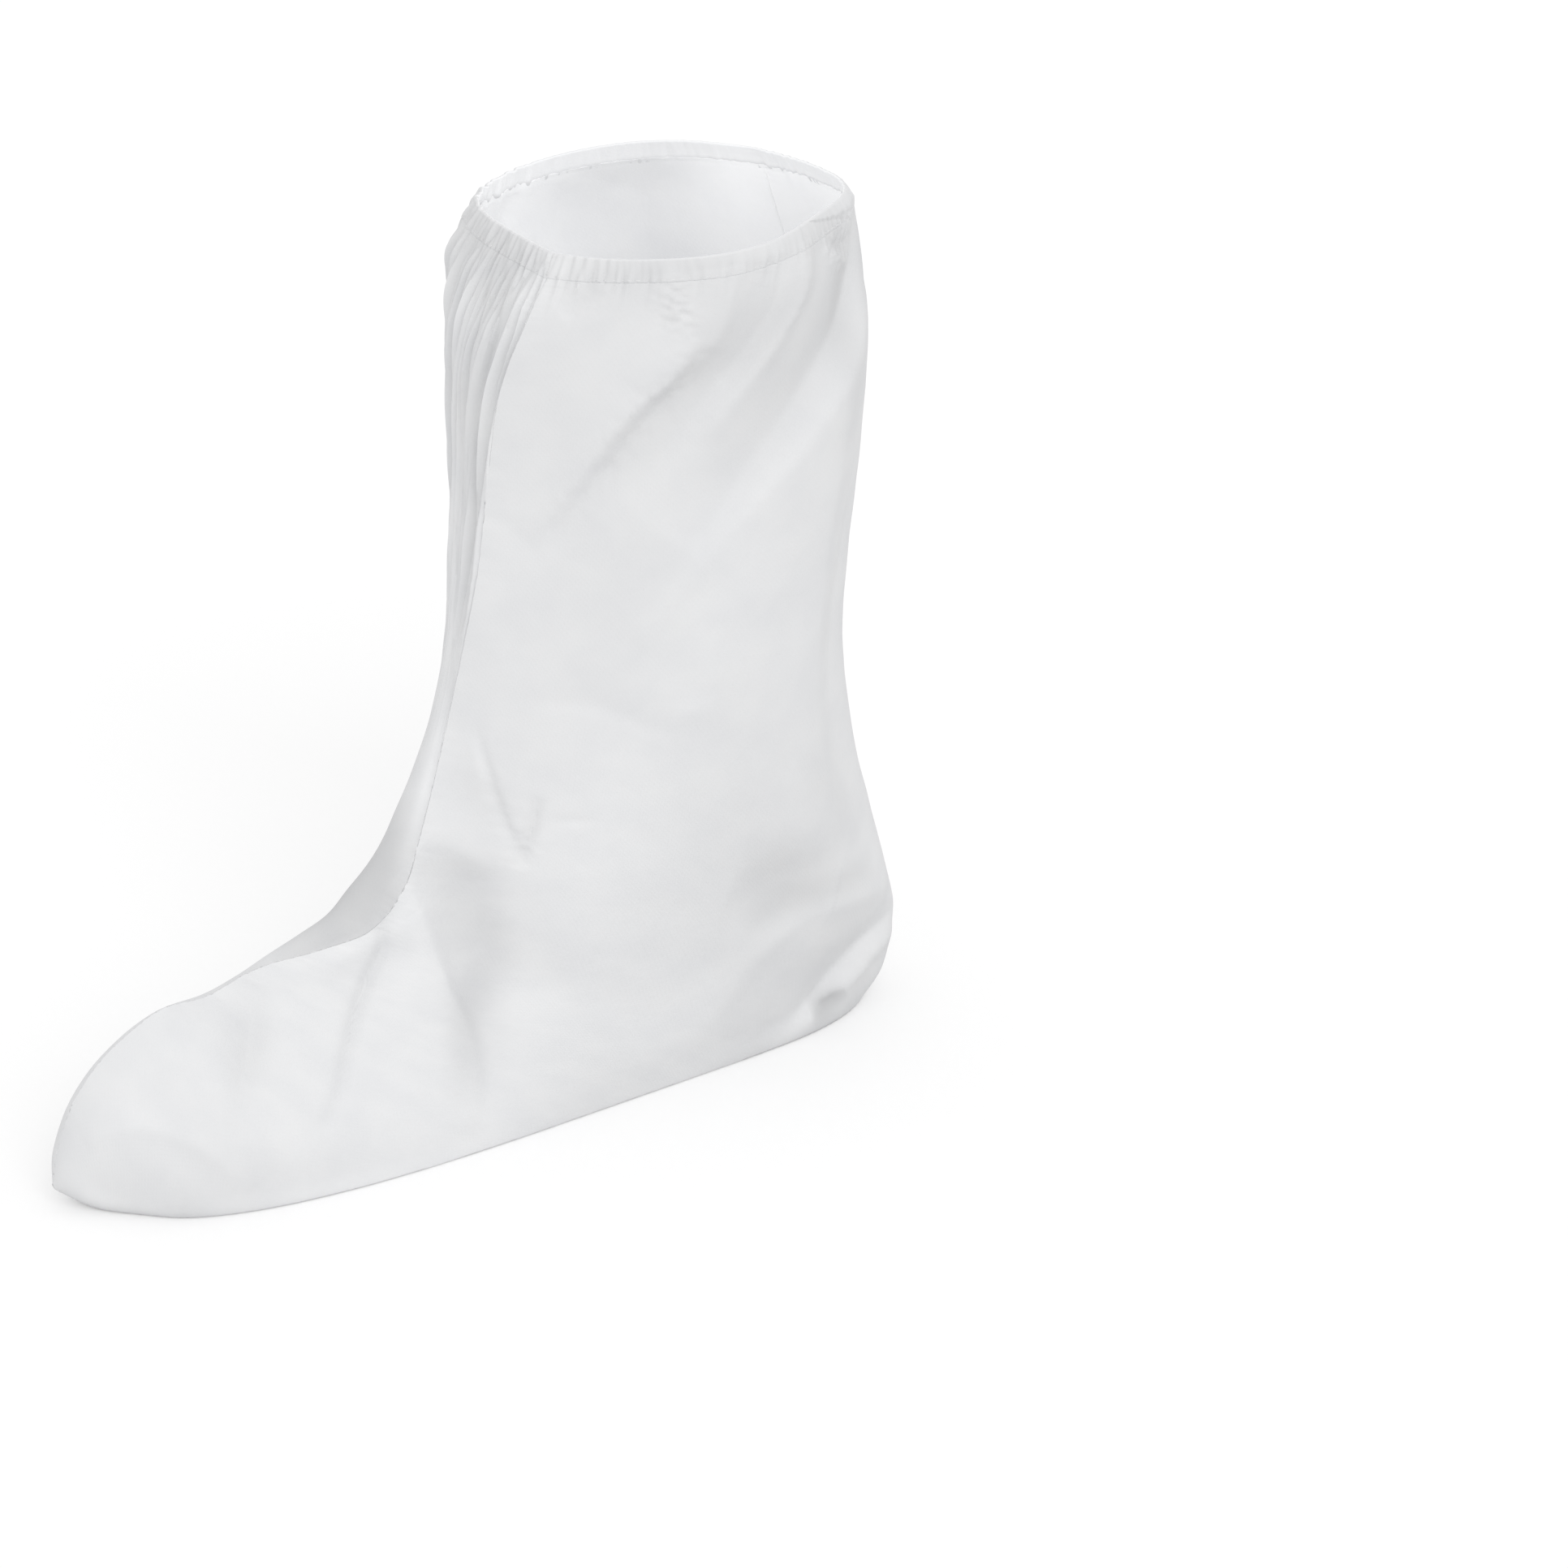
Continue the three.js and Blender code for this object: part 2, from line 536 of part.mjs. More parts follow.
// The whole cover.
function bootCover() {
  const grids = coverGrids();
  const columnCount = LEFT_COLUMNS + RIGHT_COLUMNS;
  const leftColumns = Array.from({ length: LEFT_COLUMNS + 1 }, (_, index) => index);
  const rightColumns = Array.from(
    { length: RIGHT_COLUMNS + 1 }, (_, index) => (LEFT_COLUMNS + index) % columnCount,
  );
  const group = new THREE.Group();
  group.name = 'boot_cover';
  group.add(
    piece('left_panel', panelGeometry(grids, leftColumns, 1), clothMaterial('left_cloth', CLOTH_WHITE)),
    piece('right_panel', panelGeometry(grids, rightColumns, -1), clothMaterial('right_cloth', CLOTH_WHITE)),
    piece('top_hem', hemGeometry(), clothMaterial('hem_cloth', HEM_WHITE)),
  );
  centreOverOrigin(group);
  return group;
}

export default bootCover();
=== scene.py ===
"""A pull-on boot cover of thin white nonwoven cloth, with a gathered hem round its opening.

Lengths in the tables are millimetres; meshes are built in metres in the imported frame.
+X runs to the toe, +Y to the left side, +Z up, and the sole lies on z = 0.
"""

import logging
import math
from dataclasses import astuple, dataclass, fields
from enum import Enum

import bpy
import numpy as np
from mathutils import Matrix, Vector, noise


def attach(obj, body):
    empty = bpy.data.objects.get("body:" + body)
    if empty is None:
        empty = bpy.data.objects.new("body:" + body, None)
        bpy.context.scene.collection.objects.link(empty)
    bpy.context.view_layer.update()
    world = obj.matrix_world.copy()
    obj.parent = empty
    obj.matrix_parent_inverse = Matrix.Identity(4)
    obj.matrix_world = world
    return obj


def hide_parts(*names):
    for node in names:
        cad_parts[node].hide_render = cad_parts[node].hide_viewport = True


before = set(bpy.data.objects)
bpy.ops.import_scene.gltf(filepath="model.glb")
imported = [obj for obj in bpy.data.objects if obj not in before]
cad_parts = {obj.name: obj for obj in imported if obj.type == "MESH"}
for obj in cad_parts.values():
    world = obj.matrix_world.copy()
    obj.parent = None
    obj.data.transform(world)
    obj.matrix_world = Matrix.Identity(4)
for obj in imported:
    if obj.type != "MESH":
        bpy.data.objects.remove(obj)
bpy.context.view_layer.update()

LOG = logging.getLogger("boot_cover")
MM = 0.001
TINY = 1e-12
UV_MAP = "cloth_map"
# Mesh attributes: a painted glow on the cloth's inner wall, standing for the light that comes
# through the cloth, and painted shading that darkens or lightens the cloth's colour.
PAINTED_GLOW = "inward"
PAINTED_SHADING = "tone"
PACKING_SAMPLES = 4001
SHARP_ANGLE = math.radians(70)

Span = tuple[float, float]
Triple = tuple[float, float, float]
Path = tuple[Span, ...]
Faces = list[tuple[int, ...]]


class Side(Enum):
    """The two side panels."""

    LEFT = "left"
    RIGHT = "right"


class Pattern(Enum):
    """Fixed offsets that pick the pattern of each layer of noise."""

    BROAD = 0.0
    PUCKER = 3.0
    FLUTE = 5.0
    FINE = 7.0
    RUFFLE = 11.0
    FINE_FLUTE = 23.0
    FOLD_CRUMPLE = 31.0


@dataclass(frozen=True)
class Section:
    """An oval section hung between the front seam and the back or sole seam.

    The x and z of both seams and the half widths, sideways shift and seam ridges are
    millimetres, and seam_turn is degrees. sole_spread is how much wider the lower half is
    than the upper half. left_flat and right_flat are shares by which the cloth beside the
    front seam is flattened.
    """

    front_x: float
    front_z: float
    back_x: float
    back_z: float
    left_half: float
    right_half: float
    shift_y: float
    seam_turn: float
    front_ridge: float
    back_ridge: float
    sole_spread: float
    left_flat: float
    right_flat: float


SECTIONS: dict[str, Section] = {
    "rim": Section(174, 351, 29, 359, 72, 71, 0, 26, 1, 1, 0, 0.03, 0.02),
    "under_hem": Section(178, 343, 24, 351, 75, 74, 0, 26, 2, 1, 0, 0.05, 0.03),
    "shoulder": Section(184, 329, 21, 335, 80, 80, 0, 24, 3, 2, 0, 0.08, 0.05),
    "calf": Section(188, 303, 19, 306, 81, 81, 0, 19, 4, 2, 0, 0.10, 0.05),
    "mid_shaft": Section(188, 262, 20, 262, 80, 80, 0, 14, 4, 2, 0, 0.10, 0.05),
    "low_shaft": Section(190.5, 225, 25, 215, 78, 77, 0, 11.5, 4, 2, 0, 0.10, 0.05),
    "narrow": Section(194, 190, 27.5, 172, 75, 73, 0, 7, 4, 2, 0, 0.09, 0.05),
    "ankle_top": Section(200, 162, 21.5, 130, 70, 68, 0, 6, 4, 2, 0, 0.08, 0.03),
    "ankle": Section(210, 141, 11, 92, 64, 63, 0, 10.5, 4, 2, 0.05, 0.07, 0.02),
    "heel_top": Section(222.5, 122, 2, 62, 58, 58, 0, 17, 4, 2, 0.1, 0.07, 0.02),
    "heel_back": Section(233, 108, -4, 36, 52, 52, 0, 22, 4, 2, 0.15, 0.07, 0.02),
    "heel_low": Section(246, 98, 3, 8, 46, 47, 0, 26, 4, 2, 0.2, 0.07, 0.03),
    "heel_sole": Section(258, 91, 25, -16, 43, 43, 0, 26, 3, 1, 0.24, 0.07, 0.05),
    "arch_back": Section(271, 85, 70, -24, 45, 45, 0, 20, 3, 0, 0.26, 0.06, 0.05),
    "arch_front": Section(284, 80, 115, -26, 48, 47, 0, 12, 3, 0, 0.29, 0.06, 0.05),
    "ball_back": Section(296, 74, 170, -28, 51, 50, 1, 5, 3, 0, 0.29, 0.06, 0.05),
    "ball_front": Section(309, 69.5, 225, -28, 52, 50, 3, 2, 3, 0, 0.26, 0.05, 0.04),
    "toe_back": Section(327, 69, 268, -26, 50, 47, 5, 0, 3, 0, 0.26, 0.05, 0.04),
    "toe_middle": Section(344, 63, 303, -22, 44, 40, 7, 0, 2, 0, 0.28, 0.04, 0.03),
    "toe_front": Section(358, 53, 330, -16, 36, 31, 8, 0, 2, 0, 0.27, 0.03, 0.02),
    "toe_round": Section(369, 39, 349, -8, 26, 22, 8, 0, 1, 0, 0.2, 0.02, 0.01),
    "toe_end": Section(376, 23, 365, -1.5, 14, 12, 8, 0, 0, 0, 0.1, 0, 0),
    "toe_tip": Section(378.4, 11, 378, 8, 1, 1, 8, 0, 0, 0, 0, 0, 0),
}
LAST_SECTION = len(SECTIONS) - 1
HEM_LINE = 1 / LAST_SECTION


@dataclass(frozen=True)
class Fold:
    """A fold or dent along a line laid on the cover.

    Each place of the path is a share of the way from the rim to the toe tip, and half turns
    from the front seam by the left side to the back seam; negative turns lie on the right
    panel. lift and the widths above (or left of) and below (or right of) the line are
    millimetres; peak is where along the line the fold is highest. shade is painted shade: the
    share of light taken out of the cloth's colour in it, painted light where negative. ruffle
    is how many millimetres of fine crumple lie along it, and flat is how level its middle is.
    """

    path: Path
    lift: float
    upper_wide: float
    lower_wide: float
    peak: float
    shade: float = 0.0
    ruffle: float = 0.0
    flat: float = 1.6

    @property
    def on_left(self) -> bool:
        """Whether the fold lies on the left panel."""
        return sum(turn for _, turn in self.path) > 0


def painted_shade_patch(
    path: Path,
    upper_wide: float,
    lower_wide: float,
    peak: float,
    shade: float,
    flat: float = 2.0,
) -> Fold:
    """A stretch of painted shade or painted light in the cloth's colour, without a lift.

    Args:
        path: The line it lies along.
        upper_wide: Its width above or left of the line, in millimetres.
        lower_wide: Its width below or right of the line, in millimetres.
        peak: Where along the line it is strongest.
        shade: The share of light taken out of the colour there as painted shade, negative where
            painted light is added.
        flat: How level its middle is.

    Returns:
        The stretch as a fold of no height.
    """
    return Fold(path, 0.0, upper_wide, lower_wide, peak, shade, 0.0, flat)


# Each fold's shade is painted shade in the cloth's colour, darkest in its crease or hollow, and
# painted light where it is negative. Entries with no lift are painted shade or painted light
# alone, with no fold in the cloth.
FOLDS: dict[str, Fold] = {
    "pucker_string": Fold(((0.03, 0.215), (0.075, 0.225), (0.10, 0.26)), 1.0, 5, 4, 0.5, 0.0, 1.5),
    "left_crest": Fold(((0.10, 0.27), (0.125, 0.25), (0.15, 0.185), (0.18, 0.12), (0.205, 0.07)),
        4.0, 16, 4, 0.25, -0.02, 0.5),
    "left_valley": Fold(((0.105, 0.29), (0.13, 0.27), (0.155, 0.205), (0.185, 0.135),
        (0.205, 0.09)), -3.0, 3.5, 10, 0.2, 0.03, 0.9),
    "hem_bulge": Fold(((0.03, 0.31), (0.085, 0.31), (0.115, 0.29), (0.14, 0.24)),
        3.5, 14, 6, 0.4, 0.035),
    "hem_valley": Fold(((0.035, 0.415), (0.085, 0.41), (0.115, 0.375), (0.135, 0.335),
        (0.155, 0.28), (0.19, 0.18)), -4.2, 13, 6, 0.3),
    "middle_crest": Fold(((0.03, 0.475), (0.075, 0.47), (0.10, 0.44), (0.13, 0.39), (0.16, 0.32)),
        3.2, 4, 6, 0.35, -0.02, 0.3),
    "middle_valley": Fold(((0.03, 0.71), (0.07, 0.70), (0.105, 0.67), (0.125, 0.62),
        (0.138, 0.555), (0.155, 0.48), (0.175, 0.405), (0.205, 0.33)), -8.0, 25, 6, 0.3, 0.02),
    "back_crest": Fold(((0.115, 0.74), (0.142, 0.65), (0.153, 0.57), (0.168, 0.50), (0.185, 0.43),
        (0.21, 0.36), (0.25, 0.28)), 3.8, 5, 22, 0.35, 0.0, 0.3),
    "back_edge": Fold(((0.14, 0.62), (0.20, 0.60), (0.25, 0.62), (0.38, 0.68)), 2.4, 18, 9, 0.4),
    "back_strip": Fold(((0.16, 0.70), (0.28, 0.71), (0.40, 0.75)), -2.4, 12, 12, 0.5),
    "hem_dent": Fold(((0.05, 0.10), (0.085, 0.05)), -1.6, 6, 4, 0.4, 0.03, 0.4),
    "hem_corner": Fold(((0.045, 0.53), (0.065, 0.60), (0.075, 0.70)),
        -1.4, 3.5, 3.5, 0.4, 0.03, 0.6),
    "hem_corner_low": Fold(((0.055, 0.53), (0.08, 0.60), (0.095, 0.70)),
        1.2, 3.5, 3.5, 0.4, -0.02, 0.6),
    "pleat_left": Fold(((0.31, 0.045), (0.35, 0.091), (0.375, 0.12), (0.415, 0.163)),
        -1.8, 2.6, 2.2, 0.7, 0.03, 0.5),
    "pleat_right": Fold(((0.352, 0.176), (0.38, 0.167), (0.418, 0.148)),
        -2.1, 3.6, 2.2, 0.55, 0.045, 0.4),
    "pleat_ridge": Fold(((0.32, 0.045), (0.355, 0.085)), 0.8, 3.5, 2, 0.6, -0.02),
    "dent_brow": Fold(((0.405, 0.00), (0.412, 0.05), (0.425, 0.11)), 1.4, 12, 6, 0.6),
    "dent_crest": Fold(((0.425, -0.02), (0.475, 0.02), (0.535, 0.09), (0.57, 0.165), (0.60, 0.265),
        (0.69, 0.56)), 4.5, 12, 4.5, 0.4, -0.02),
    "dent_floor": Fold(((0.425, 0.00), (0.455, 0.07), (0.505, 0.11), (0.555, 0.185), (0.60, 0.285),
        (0.68, 0.52)), -7.0, 15, 13, 0.25, 0.0, 0.0, 2.4),
    "dent_edge": Fold(((0.425, 0.15), (0.455, 0.195), (0.505, 0.225), (0.59, 0.35)),
        1.0, 6, 14, 0.4),
    "crease": Fold(((0.479, 0.00), (0.526, 0.012), (0.58, 0.08), (0.625, 0.165), (0.67, 0.265),
        (0.75, 0.46)), -3.4, 3.0, 2.8, 0.3, 0.05),
    "crease_bulge": Fold(((0.50, 0.02), (0.56, 0.10), (0.60, 0.18), (0.65, 0.30)),
        2.6, 8, 9, 0.4, -0.02),
    "vamp_crest": Fold(((0.53, 0.00), (0.60, 0.05), (0.66, 0.14)), 2.0, 9, 7, 0.4),
    "vamp_side": Fold(((0.665, 0.04), (0.70, 0.10), (0.74, 0.22), (0.78, 0.36)),
        -4.0, 10, 7, 0.3, 0.04),
    "vamp_ridge": Fold(((0.71, 0.03), (0.75, 0.12), (0.79, 0.26)), 2.0, 8, 10, 0.4),
    "toe_line": Fold(((0.81, 0.58), (0.825, 0.42), (0.86, 0.30), (0.92, 0.22)),
        2.0, 12, 5, 0.5, -0.02),
    "toe_shade": painted_shade_patch(((0.84, 0.62), (0.90, 0.50), (0.95, 0.40)), 16, 16, 0.5, 0.03, 2.4),
    "side_line": Fold(((0.372, 0.18), (0.363, 0.27)), -0.5, 1.6, 3.5, 0.5, 0.02),
    "side_spot": Fold(((0.284, 0.36), (0.280, 0.44)), 0.7, 5, 4, 0.5, -0.02),
    "side_faint": Fold(((0.29, 0.10), (0.285, 0.24), (0.30, 0.38)), -0.7, 3, 6, 0.5),
    "instep_far": painted_shade_patch(((0.385, -0.13), (0.46, -0.14), (0.54, -0.14), (0.63, -0.13)),
        38, 30, 0.5, 0.21, 3.0),
    "heel_hollow": Fold(((0.414, 0.60), (0.411, 0.52), (0.417, 0.43)),
        -6.0, 17, 17, 0.45, 0.055, 0.0, 2.2),
    "hollow_run": painted_shade_patch(((0.33, 0.47), (0.37, 0.49), (0.44, 0.46), (0.51, 0.42)),
        20, 18, 0.5, 0.03, 2.2),
    "heel_ridge": Fold(((0.428, 0.78), (0.424, 0.66), (0.434, 0.56), (0.462, 0.48), (0.50, 0.44),
        (0.56, 0.46)), 2.2, 8, 8, 0.35, 0.01),
    "heel_valley": Fold(((0.450, 0.80), (0.464, 0.69), (0.482, 0.63), (0.505, 0.595), (0.53, 0.58),
        (0.56, 0.58)), -6.5, 14, 4.5, 0.45, 0.03),
    "heel_corner": Fold(((0.468, 0.80), (0.476, 0.69), (0.494, 0.645), (0.52, 0.60)),
        1.4, 3, 6, 0.5, 0.05, 0.3),
    "heel_notch": Fold(((0.509, 0.642), (0.529, 0.604)), -4.0, 7, 7.5, 0.5, 0.22, 0.3, 2.4),
    "hem_facet": painted_shade_patch(((0.02, 0.37), (0.077, 0.365), (0.112, 0.335), (0.142, 0.28),
        (0.175, 0.195)), 13, 11, 0.3, 0.04, 2.4),
    "back_facet": painted_shade_patch(((0.02, 0.59), (0.067, 0.59), (0.095, 0.585), (0.117, 0.56),
        (0.135, 0.50), (0.155, 0.43), (0.185, 0.355)), 18, 18, 0.35, 0.075, 2.4),
    "dent_facet": painted_shade_patch(((0.415, -0.01), (0.445, 0.048), (0.478, 0.088), (0.516, 0.126),
        (0.562, 0.193), (0.607, 0.303), (0.67, 0.50)), 12, 13, 0.4, 0.09, 2.4),
    "dent_foot": painted_shade_patch(((0.53, 0.147), (0.577, 0.225), (0.62, 0.318), (0.685, 0.515)),
        8, 8, 0.4, 0.085, 2.4),
    "valley_facet": painted_shade_patch(((0.452, 0.68), (0.458, 0.602), (0.475, 0.551), (0.489, 0.524),
        (0.508, 0.494), (0.525, 0.474), (0.55, 0.48)), 13, 14, 0.45, 0.07),
    "toe_stripe": Fold(((0.69, 0.08), (0.712, 0.148), (0.761, 0.283), (0.80, 0.43)),
        -1.6, 6, 8, 0.4, 0.025),
    "toe_facet": painted_shade_patch(((0.84, 0.15), (0.823, 0.25), (0.812, 0.45), (0.79, 0.62)),
        12, 12, 0.5, 0.035, 3.0),
    "heel_tip": Fold(((0.47, 0.88), (0.495, 0.78), (0.52, 0.70)), 1.6, 10, 10, 0.5, -0.01),
    "far_crest": Fold(((0.47, -0.40), (0.53, -0.44), (0.58, -0.52), (0.62, -0.64)),
        2.4, 14, 8, 0.4),
    "far_crease": Fold(((0.50, -0.38), (0.56, -0.42), (0.61, -0.50), (0.65, -0.62)),
        -3.2, 8, 12, 0.35),
    "far_hollow": Fold(((0.395, -0.50), (0.40, -0.60), (0.405, -0.70)),
        -4.5, 18, 16, 0.5, 0.0, 0.0, 2.2),
    "far_heel": Fold(((0.45, -0.84), (0.465, -0.70), (0.49, -0.62), (0.53, -0.57)),
        -4.5, 14, 7, 0.45),
    "far_heel_ridge": Fold(((0.43, -0.84), (0.43, -0.70), (0.445, -0.58), (0.485, -0.50)),
        2.0, 9, 9, 0.4),
    "far_drape": Fold(((0.06, -0.64), (0.12, -0.60), (0.20, -0.52), (0.29, -0.42)),
        2.4, 16, 8, 0.4),
    "far_drape_valley": Fold(((0.08, -0.74), (0.14, -0.68), (0.22, -0.60), (0.31, -0.52)),
        -2.8, 9, 16, 0.4),
    "far_shoulder": Fold(((0.01, -0.36), (0.05, -0.36), (0.12, -0.36)), 2.6, 24, 24, 0.4),
    # Painted shade alone from here on, or painted light where shade is negative.
    "front_painted_shade": painted_shade_patch(((0.065, -0.02), (0.058, -0.06), (0.047, -0.14), (0.035, -0.26),
        (0.03, -0.42)), 12, 16, 0.4, 0.11),
    "corner_painted_shade": painted_shade_patch(((0.015, 0.40), (0.025, 0.50), (0.045, 0.58), (0.10, 0.625),
        (0.18, 0.62)), 10, 11, 0.5, 0.09),
    "crest_painted_shade": painted_shade_patch(((0.02, 0.50), (0.067, 0.484), (0.089, 0.443), (0.112, 0.404),
        (0.135, 0.35)), 7, 7, 0.4, 0.12),
    "top_painted_shade": painted_shade_patch(((0.045, 0.02), (0.055, 0.09), (0.055, 0.20), (0.05, 0.32),
        (0.03, 0.40)), 10, 28, 0.5, 0.06),
    "ridge_painted_shade": painted_shade_patch(((0.455, 0.43), (0.436, 0.48), (0.425, 0.521), (0.418, 0.567),
        (0.407, 0.626), (0.405, 0.72)), 8, 8, 0.5, 0.12),
    "ankle_painted_shade": painted_shade_patch(((0.31, 0.62), (0.335, 0.66), (0.36, 0.69), (0.385, 0.69)),
        14, 14, 0.5, 0.055),
    "low_side_painted_shade": painted_shade_patch(((0.50, 0.28), (0.54, 0.34), (0.60, 0.44), (0.66, 0.50)),
        24, 24, 0.5, 0.03),
    "strip_painted_shade": painted_shade_patch(((0.07, -0.06), (0.12, -0.06), (0.16, -0.055), (0.20, -0.045)),
        6, 6, 0.6, 0.07),
    "brow_painted_shade": painted_shade_patch(((0.335, 0.02), (0.36, 0.07), (0.385, 0.13)), 9, 9, 0.5, 0.05),
    "edge_painted_shade": painted_shade_patch(((0.0, 0.70), (0.05, 0.72), (0.10, 0.73), (0.16, 0.73)),
        11, 11, 0.4, 0.10),
    "foot_edge_painted_shade": painted_shade_patch(((0.50, 0.72), (0.53, 0.665), (0.56, 0.63), (0.60, 0.63)),
        6, 6, 0.5, 0.09),
    "seam_strip_light": painted_shade_patch(((0.26, -0.04), (0.33, -0.03), (0.39, -0.025), (0.44, -0.02),
        (0.475, -0.01)), 6, 6, 0.6, -0.13),
    "back_light": painted_shade_patch(((0.165, 0.54), (0.20, 0.45), (0.24, 0.38), (0.29, 0.33)),
        16, 16, 0.45, -0.035),
    "side_light": painted_shade_patch(((0.28, 0.34), (0.35, 0.29), (0.42, 0.255), (0.50, 0.24)),
        32, 32, 0.65, -0.07),
    "front_light": painted_shade_patch(((0.13, 0.03), (0.196, 0.02), (0.263, 0.045), (0.33, 0.06)),
        26, 26, 0.5, -0.045),
    "strip_light": painted_shade_patch(((0.08, -0.17), (0.16, -0.157), (0.245, -0.129), (0.33, -0.06),
        (0.39, -0.045), (0.44, -0.03)), 12, 9, 0.7, -0.10),
    "seam_light": painted_shade_patch(((0.46, 0.015), (0.50, 0.015), (0.55, 0.01), (0.60, 0.01),
        (0.66, 0.01)), 4, 4, 0.3, -0.045),
    "toe_edge_light": painted_shade_patch(((0.99, 0.25), (0.975, 0.45), (0.955, 0.60), (0.925, 0.66),
        (0.87, 0.66)), 9, 9, 0.5, -0.15),
    "sole_edge_light": painted_shade_patch(((0.91, 0.65), (0.84, 0.645), (0.78, 0.645), (0.72, 0.65),
        (0.67, 0.66)), 7, 8, 0.5, -0.12),
    "sole_tuck": Fold(((0.53, 0.56), (0.57, 0.55), (0.61, 0.57), (0.66, 0.60)),
        -2.4, 14, 8, 0.25, 0.08),
}


def smooth_step(value: np.ndarray, low: float, high: float) -> np.ndarray:
    """Rises smoothly from 0 at low to 1 at high.

    Args:
        value: The places to read.
        low: Where the rise starts.
        high: Where it ends; below low, the step falls.

    Returns:
        The step at each place, from 0 to 1.
    """
    share = np.clip((value - low) / (high - low), 0, 1)
    return share * share * (3 - 2 * share)


def at_least(least: float, share: np.ndarray) -> np.ndarray:
    """Shares squeezed into the range from least to 1."""
    return least + (1 - least) * share


def packed_steps(count: int, bumps: tuple[Triple, ...]) -> np.ndarray:
    """Shares from 0 to 1 that lie closer together where more detail is.

    Args:
        count: The number of steps.
        bumps: Place, width and extra density of each busy stretch.

    Returns:
        The count + 1 shares in order.
    """
    fine = np.linspace(0, 1, PACKING_SAMPLES)
    density = np.ones_like(fine)
    for place, width, extra in bumps:
        density += extra * np.exp(-(((fine - place) / width) ** 2))
    total = np.concatenate([[0.0], np.cumsum((density[1:] + density[:-1]) / 2)])
    return np.interp(np.linspace(0, total[-1], count + 1), total, fine)


def unit(vectors: np.ndarray) -> np.ndarray:
    """Vectors of length one along the last axis."""
    return vectors / (np.linalg.norm(vectors, axis=-1, keepdims=True) + TINY)


def laid_length(points: np.ndarray, axis: int) -> np.ndarray:
    """Length run so far along one axis of a grid of points, from zero.

    Args:
        points: Grid of points, rows by columns by three.
        axis: 0 to run down the rows, 1 to run across the columns.

    Returns:
        The length at each point of the grid.
    """
    steps = np.linalg.norm(np.diff(points, axis=axis), axis=-1)
    start = np.zeros_like(np.take(steps, [0], axis=axis))
    return np.concatenate([start, np.cumsum(steps, axis=axis)], axis=axis)


def through(table: np.ndarray, row: np.ndarray) -> np.ndarray:
    """Reads a smooth curve through the rows of a table.

    Args:
        table: The rows, n by however many columns.
        row: Places to read, from 0 to n - 1.

    Returns:
        The values at each place, with the columns as the last axis.
    """
    last = len(table) - 1
    row = np.clip(row, 0, last)
    index = np.clip(np.floor(row).astype(int), 0, last - 1)
    share = (row - index)[..., None]
    before, start = table[np.maximum(index - 1, 0)], table[index]
    end, after = table[index + 1], table[np.minimum(index + 2, last)]
    bend = 2 * before - 5 * start + 4 * end - after
    twist = 3 * start - before - 3 * end + after
    return (2 * start + (end - before) * share + bend * share**2 + twist * share**3) / 2


def noise_at(points: np.ndarray, size: Triple, pattern: Pattern) -> np.ndarray:
    """Smooth noise at each point.

    Args:
        points: The points, with three coordinates along the last axis.
        size: Length of one swing of the noise along each coordinate.
        pattern: Which of the fixed patterns to read.

    Returns:
        The noise, about -0.7 to 0.7.
    """
    flat = points.reshape(-1, 3) / np.array(size) + pattern.value
    return np.array([noise.noise(Vector(p)) for p in flat.tolist()]).reshape(points.shape[:-1])


